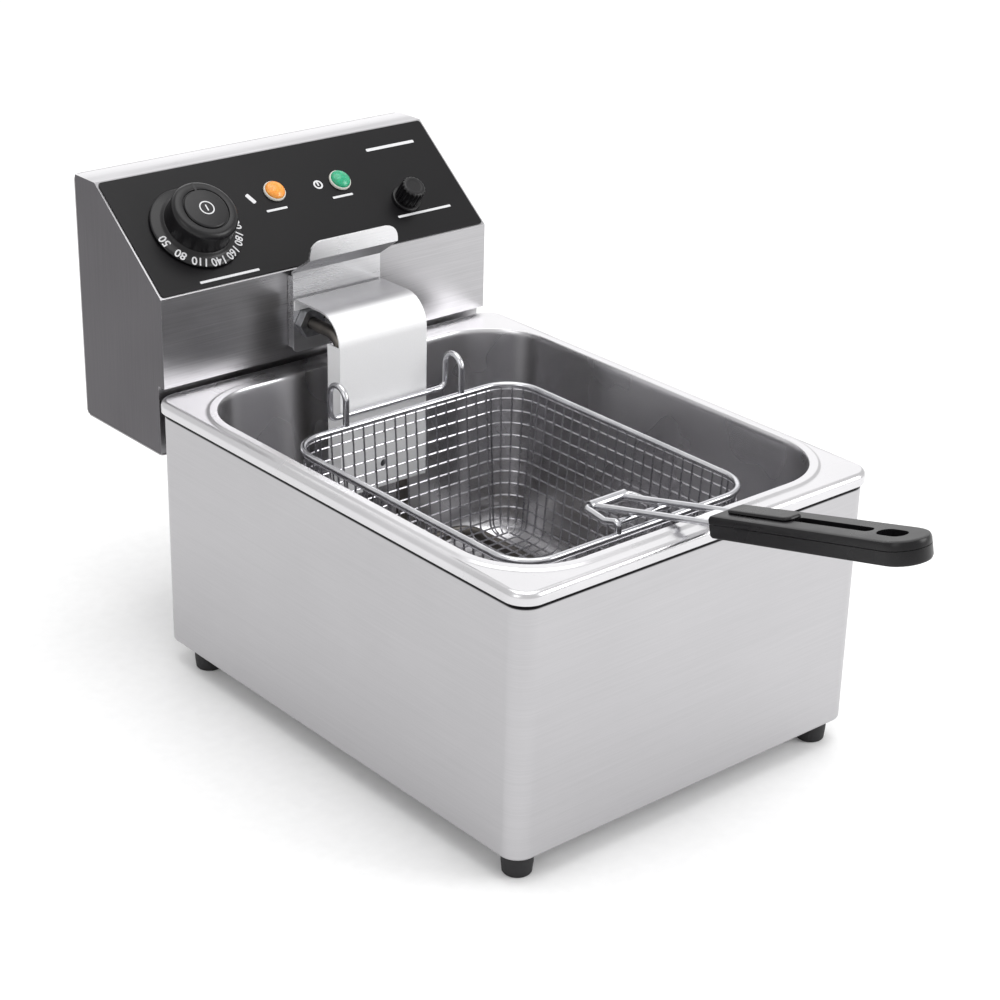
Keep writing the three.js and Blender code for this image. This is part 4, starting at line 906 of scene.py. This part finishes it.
def make_reset():
    base = LABEL_TOP + GAP
    collar = turned([(6.2, base), (10, base), (10, base + 1.3), (9.7, base + 1.9), (9.1, base + 2.2),
                     (6.2, base + 2.2), (6.2, base)], 64)
    stands_for(add_piece("reset_collar_ring", [collar], on_slope(RESET_PLACE), KNOB_PLASTIC), "head",
               "control_plastic", "reset_collar")
    start, top = base + 2.5, base + 15

    def ribbed(scale, z, depth=1.0):
        loop = []
        for i in range(RESET_RIDGES * 8):
            angle = 2 * math.pi * i / (RESET_RIDGES * 8)
            radius = scale * (RESET_RADIUS + 0.4 * depth * math.cos(RESET_RIDGES * angle))
            loop.append((radius * math.cos(angle), radius * math.sin(angle), z))
        return loop
    rows = [ribbed(0.97, start), ribbed(1, start + 0.3), ribbed(1, top - 1.6), ribbed(0.97, top - 0.9, 0.6),
            ribbed(0.9, top - 0.3, 0.2), ribbed(0.82, top, 0), ribbed(0.6, top, 0),
            ribbed(0.55, top - 0.4, 0)]
    cap = add_piece("reset_cap_body", [loft(rows)], on_slope(RESET_PLACE), KNOB_PLASTIC, crease=50)
    stands_for(cap, "reset_cap", "control_plastic", "reset_cap")
    button = turned([(0, -8), (3, -8), (3, 7.2), (2.7, 7.9), (2.1, 8.3), (0, 8.4)], 40)
    stands_for(add_piece("reset_button_pin", [button], on_slope(RESET_PLACE), RED_PLASTIC), "reset_button",
               "red_plastic", "reset_button")


def make_gland():
    gland = turned([(3.8, -9), (8, -9), (8, 0.3), (11, 0.3), (11, 3.4), (10.6, 4.2), (9.5, 5.5), (9.1, 7),
                    (8.2, 8), (8.2, 9), (7.8, 9.8), (7.8, 11), (7.4, 12), (7.4, 13.4), (6.9, 14),
                    (4.4, 14), (3.8, 13.4), (3.8, -9)], 48)
    place = (STAND @ Matrix.Translation((GLAND_PLACE[0], HEAD_BACK, HEAD_BOTTOM + GLAND_PLACE[1]))
             @ Matrix.Rotation(-math.pi / 2, 4, "X"))
    stands_for(add_piece("cord_gland_body", [gland], place, NYLON), "head", "black_nylon", "cord_gland")


# ---- Basket ---------------------------------------------------------------------------------------
def basket_loop(inset, z, steps=10):
    return plan_loop(BASKET_SIZE[0] - 2 * inset, BASKET_SIZE[1] - 2 * inset, BASKET_CORNER - inset,
                     BASKET_MIDDLE, z, steps)


def wall_profile():
    """(inset, height) of the basket's wall from the rim to the floor."""
    floor, top, r = RIM_Z - BASKET_DEPTH + MESH_WIRE, RIM_Z - RIM_WIRE, BASKET_ROUND
    rows = [(BASKET_DRAFT * t, top + (floor + r - top) * t) for t in (0, 0.25, 0.5, 0.75, 1)]
    rows += [(BASKET_DRAFT + r - r * math.cos(a), floor + r - r * math.sin(a))
             for a in map(math.radians, (22.5, 45, 67.5, 90))]
    return rows


def make_basket_mesh():
    """Crossed wires: hoops under the floor and up both walls each way, floor wires beside them, upright
    wires in the rounded corners, and level loops round the walls."""
    rows = wall_profile()
    wall_foot, bend_middle, (floor_inset, floor_z) = rows[4], rows[6], rows[-1]
    floor_corner = BASKET_CORNER - floor_inset
    half_w, half_l = BASKET_SIZE[0] / 2, BASKET_SIZE[1] / 2
    straight_w, straight_l = half_w - BASKET_CORNER, half_l - BASKET_CORNER
    paths = []

    def lay(points, across):
        paths.append(([(y, x + BASKET_MIDDLE, z) if across else (x, y + BASKET_MIDDLE, z)
                       for x, y, z in points], False))

    for reach, span, beside, across in ((straight_w, half_l, half_w, False),
                                        (straight_l, half_w, half_l, True)):
        count = int(reach // MESH_PITCH)
        wall = [(span - inset - MESH_WIRE, z) for inset, z in rows]
        for i in range(-count, count + 1):
            side = i * MESH_PITCH
            lay([(side, -d, z) for d, z in wall] + [(side, d, z) for d, z in reversed(wall)], across)
        limit = beside - floor_inset
        for i in range(count + 1, int(limit // MESH_PITCH) + 1):
            beyond = i * MESH_PITCH - (limit - floor_corner)
            if beyond >= floor_corner:
                continue
            end = span - floor_inset - floor_corner + math.sqrt(floor_corner ** 2 - max(beyond, 0) ** 2)
            for side in (-i * MESH_PITCH, i * MESH_PITCH):
                lay([(side, -end, floor_z), (side, end, floor_z)], across)
    for quarter, (sx, sy) in enumerate(CORNERS):
        for k in range(5):
            angle = math.radians(quarter * 90 + 9 + k * 18)
            lay([(sx * straight_w + (BASKET_CORNER - inset - MESH_WIRE) * math.cos(angle),
                  sy * straight_l + (BASKET_CORNER - inset - MESH_WIRE) * math.sin(angle), z)
                 for inset, z in rows], False)
    top = RIM_Z - RIM_WIRE
    wall_height = top - wall_foot[1]
    for i in range(int(wall_height // MESH_PITCH) + 1):
        z = wall_foot[1] + i * MESH_PITCH
        inset = BASKET_DRAFT * (top - z) / wall_height
        paths.append((basket_loop(inset - MESH_WIRE * 0.6, z), True))
    paths += [(basket_loop(*bend_middle), True), (basket_loop(0.3, top - 0.8), True)]
    piece = wires("basket_wire_mesh", paths, MESH_WIRE, MESH_PLATING, sides=6)
    stands_for(piece, "basket", "chromed_wire", "basket_mesh")


def make_basket_wires():
    rim = wires("basket_rim_wire", [(basket_loop(0, RIM_Z, 16), True)], RIM_WIRE, PLATED_WIRE, sides=20)
    stands_for(rim, "basket", "chromed_wire", "basket_rim")
    x, y, back = HOOK_SPREAD, BASKET_FRONT + BASKET_SIZE[1], BASKET_FRONT + BASKET_SIZE[1] + HOOK_REACH
    top = RIM_Z + HOOK_RISE
    half = [(x, y, RIM_Z + 1.2), (x, y, top), (x, back, top), (x, back, RIM_Z)]
    path = half + [(-a, b, z) for a, b, z in reversed(half)]
    turn = HOOK_REACH / 2 - 0.01
    hooks = wires("basket_hook_wire", [(bend(path, [turn, turn, 5, 5, turn, turn], 10), False)], RIM_WIRE,
                  PLATED_WIRE, sides=20)
    stands_for(hooks, "basket", "chromed_wire", "basket_hooks")


def make_handle_bracket():
    y = BASKET_FRONT
    rest = PIVOT_Z + 30 * math.tan(HANDLE_TILT) - 2 * RIM_WIRE / math.cos(HANDLE_TILT) - GAP
    leg = BAR_HALF + 3
    half = [(leg, y, RIM_Z + 1.2), (leg, y, rest), (leg, y + 11, PIVOT_Z), (BAR_HALF, PIVOT_Y, PIVOT_Z)]
    path = half + [(-x, a, z) for x, a, z in reversed(half)]
    loop = bend(path, [2.2, 6, 3, 3, 6, 2.2], 8)
    bar = [(-leg, y, rest), (leg, y, rest)]
    piece = wires("handle_bracket_wire", [(loop, False), (bar, False)], RIM_WIRE, PLATED_WIRE, sides=20)
    stands_for(piece, "basket", "chromed_wire", "handle_bracket")


# ---- Handle ---------------------------------------------------------------------------------------
def make_handle_wires():
    half = BAR_HALF - RIM_WIRE - SLIDE_GAP
    inner, outer = RIM_WIRE + GAP, RIM_WIRE + GAP + 1.2
    sleeve = turned([(inner, -half), (outer - 0.3, -half), (outer, 0.3 - half), (outer, half - 0.3),
                     (outer - 0.3, half), (inner, half), (inner, -half)], 40)
    tube = add_piece("handle_sleeve", [sleeve], HANDLE @ Matrix.Rotation(math.pi / 2, 4, "Y"),
                     PLATED_WIRE)
    stands_for(tube, "handle", "chromed_wire")
    paths = [([(x, outer - 0.9, 0), (x, GRIP_START + 25, 0)], False)
             for x in (-HANDLE_WIRE_X, HANDLE_WIRE_X)]
    stands_for(wires("handle_rods", paths, RIM_WIRE, PLATED_WIRE, HANDLE, 20), "handle", "chromed_wire",
               "handle_wires")
    stands_for(softened("handle_clip", BLASTED_STEEL, 0.2), "handle", "polished_strip", "handle_clip")


def make_grip():
    for name, soften in (("grip_lower", 0.5), ("grip_upper", 0.5), ("grip_strip", 0.3)):
        stands_for(softened(name, GRIP_PLASTIC, soften, 40, 3), "handle", "grip_plastic", name)


# ---- CAD nodes that stay as they are --------------------------------------------------------------
def finish_carried_nodes():
    finishes = {"zinc_steel": ZINC, "white_plastic": WHITE_PLASTIC, "black_nylon": NYLON,
                "control_plastic": KNOB_PLASTIC, "chromed_wire": PLATED_WIRE}
    slots = {item["node"]: item["material_slot"] for item in frame["record"]["subparts"]}
    for name, carried in frame["nodes"].items():
        material = finishes.get(slots.get(name), ZINC)
        carried.data.materials.clear()
        carried.data.materials.append(material)


# ---- Camera, light and floor ----------------------------------------------------------------------
def make_camera():
    """A long lens from the front left, looking down on the pan."""
    turn, rise, roll = math.radians(-41.11), math.radians(25.09), math.radians(1.47)
    target = Vector((-0.0015, FRONT / MM + 0.17, 0.116))
    back = Vector((math.sin(turn) * math.cos(rise), -math.cos(turn) * math.cos(rise), math.sin(rise)))
    right = (-back).cross(Vector((0, 0, 1))).normalized()
    up = right.cross(-back)
    right, up = (right * math.cos(roll) + up * math.sin(roll),
                 up * math.cos(roll) - right * math.sin(roll))
    data = bpy.data.cameras.new("studio camera")
    data.lens, data.sensor_width = 83.0, 36
    data.shift_x, data.shift_y = -0.0013, 0.0313
    camera = add_object("studio camera", data)
    place = Matrix((right, up, back)).transposed().to_4x4()
    place.translation = target + back * 1.4034
    camera.matrix_world = place
    bpy.context.scene.camera = camera


def area_light(name, place, aim, size, power, colour=(1, 1, 1)):
    data = bpy.data.lights.new(name, "AREA")
    data.shape, data.size, data.size_y = "RECTANGLE", size[0], size[1]
    data.energy, data.color = power, colour
    lamp = add_object(name, data)
    way = Vector(aim) - Vector(place)
    lamp.matrix_world = Matrix.Translation(place) @ way.to_track_quat("-Z", "Y").to_matrix().to_4x4()
    return lamp


def make_studio():
    material, tree, place = start_material("pale_paper_floor", Specular_IOR_Level=0.2)
    fibre = grain(tree, place, 8, 3.0)
    finished(material, tint(tree, fibre, "f4f4f4", "f8f8f8"), spread(tree, fibre, 0.7, 0.85))
    mesh = bpy.data.meshes.new("floor")
    mesh.from_pydata([(-6, -6, 0), (6, -6, 0), (6, 6, 0), (-6, 6, 0)], [], [(0, 1, 2, 3)])
    mesh.materials.append(material)
    add_object("floor", mesh)
    world = bpy.data.worlds.new("studio")
    world.use_nodes = True
    world.node_tree.nodes["Background"].inputs["Color"].default_value = (1, 1, 1, 1)
    world.node_tree.nodes["Background"].inputs["Strength"].default_value = 0.85
    bpy.context.scene.world = world
    bpy.context.scene.view_settings.view_transform = "Standard"
    area_light("overhead softbox", (0.1, 0.1, 2.2), (0, 0, 0), (1.8, 1.8), 22)
    area_light("front right softbox", (1.6, -1.8, 1.3), (0, 0, 0.1), (1.2, 1.4), 26)
    area_light("left fill", (-2.2, -0.6, 1.2), (0, 0, 0.1), (1.0, 1.4), 6)
    area_light("back right softbox", (1.8, 2.0, 1.3), (0, 0, 0.15), (2.6, 1.6), 8)


make_camera()
make_studio()
make_casing()
make_feet()
make_screws()
make_pan()
make_head()
make_hanger()
make_element()
make_knob()
make_dial_print()
make_panel_print()
make_lamps()
make_reset()
make_gland()
make_basket_mesh()
make_basket_wires()
make_handle_bracket()
make_handle_wires()
make_grip()
finish_carried_nodes()
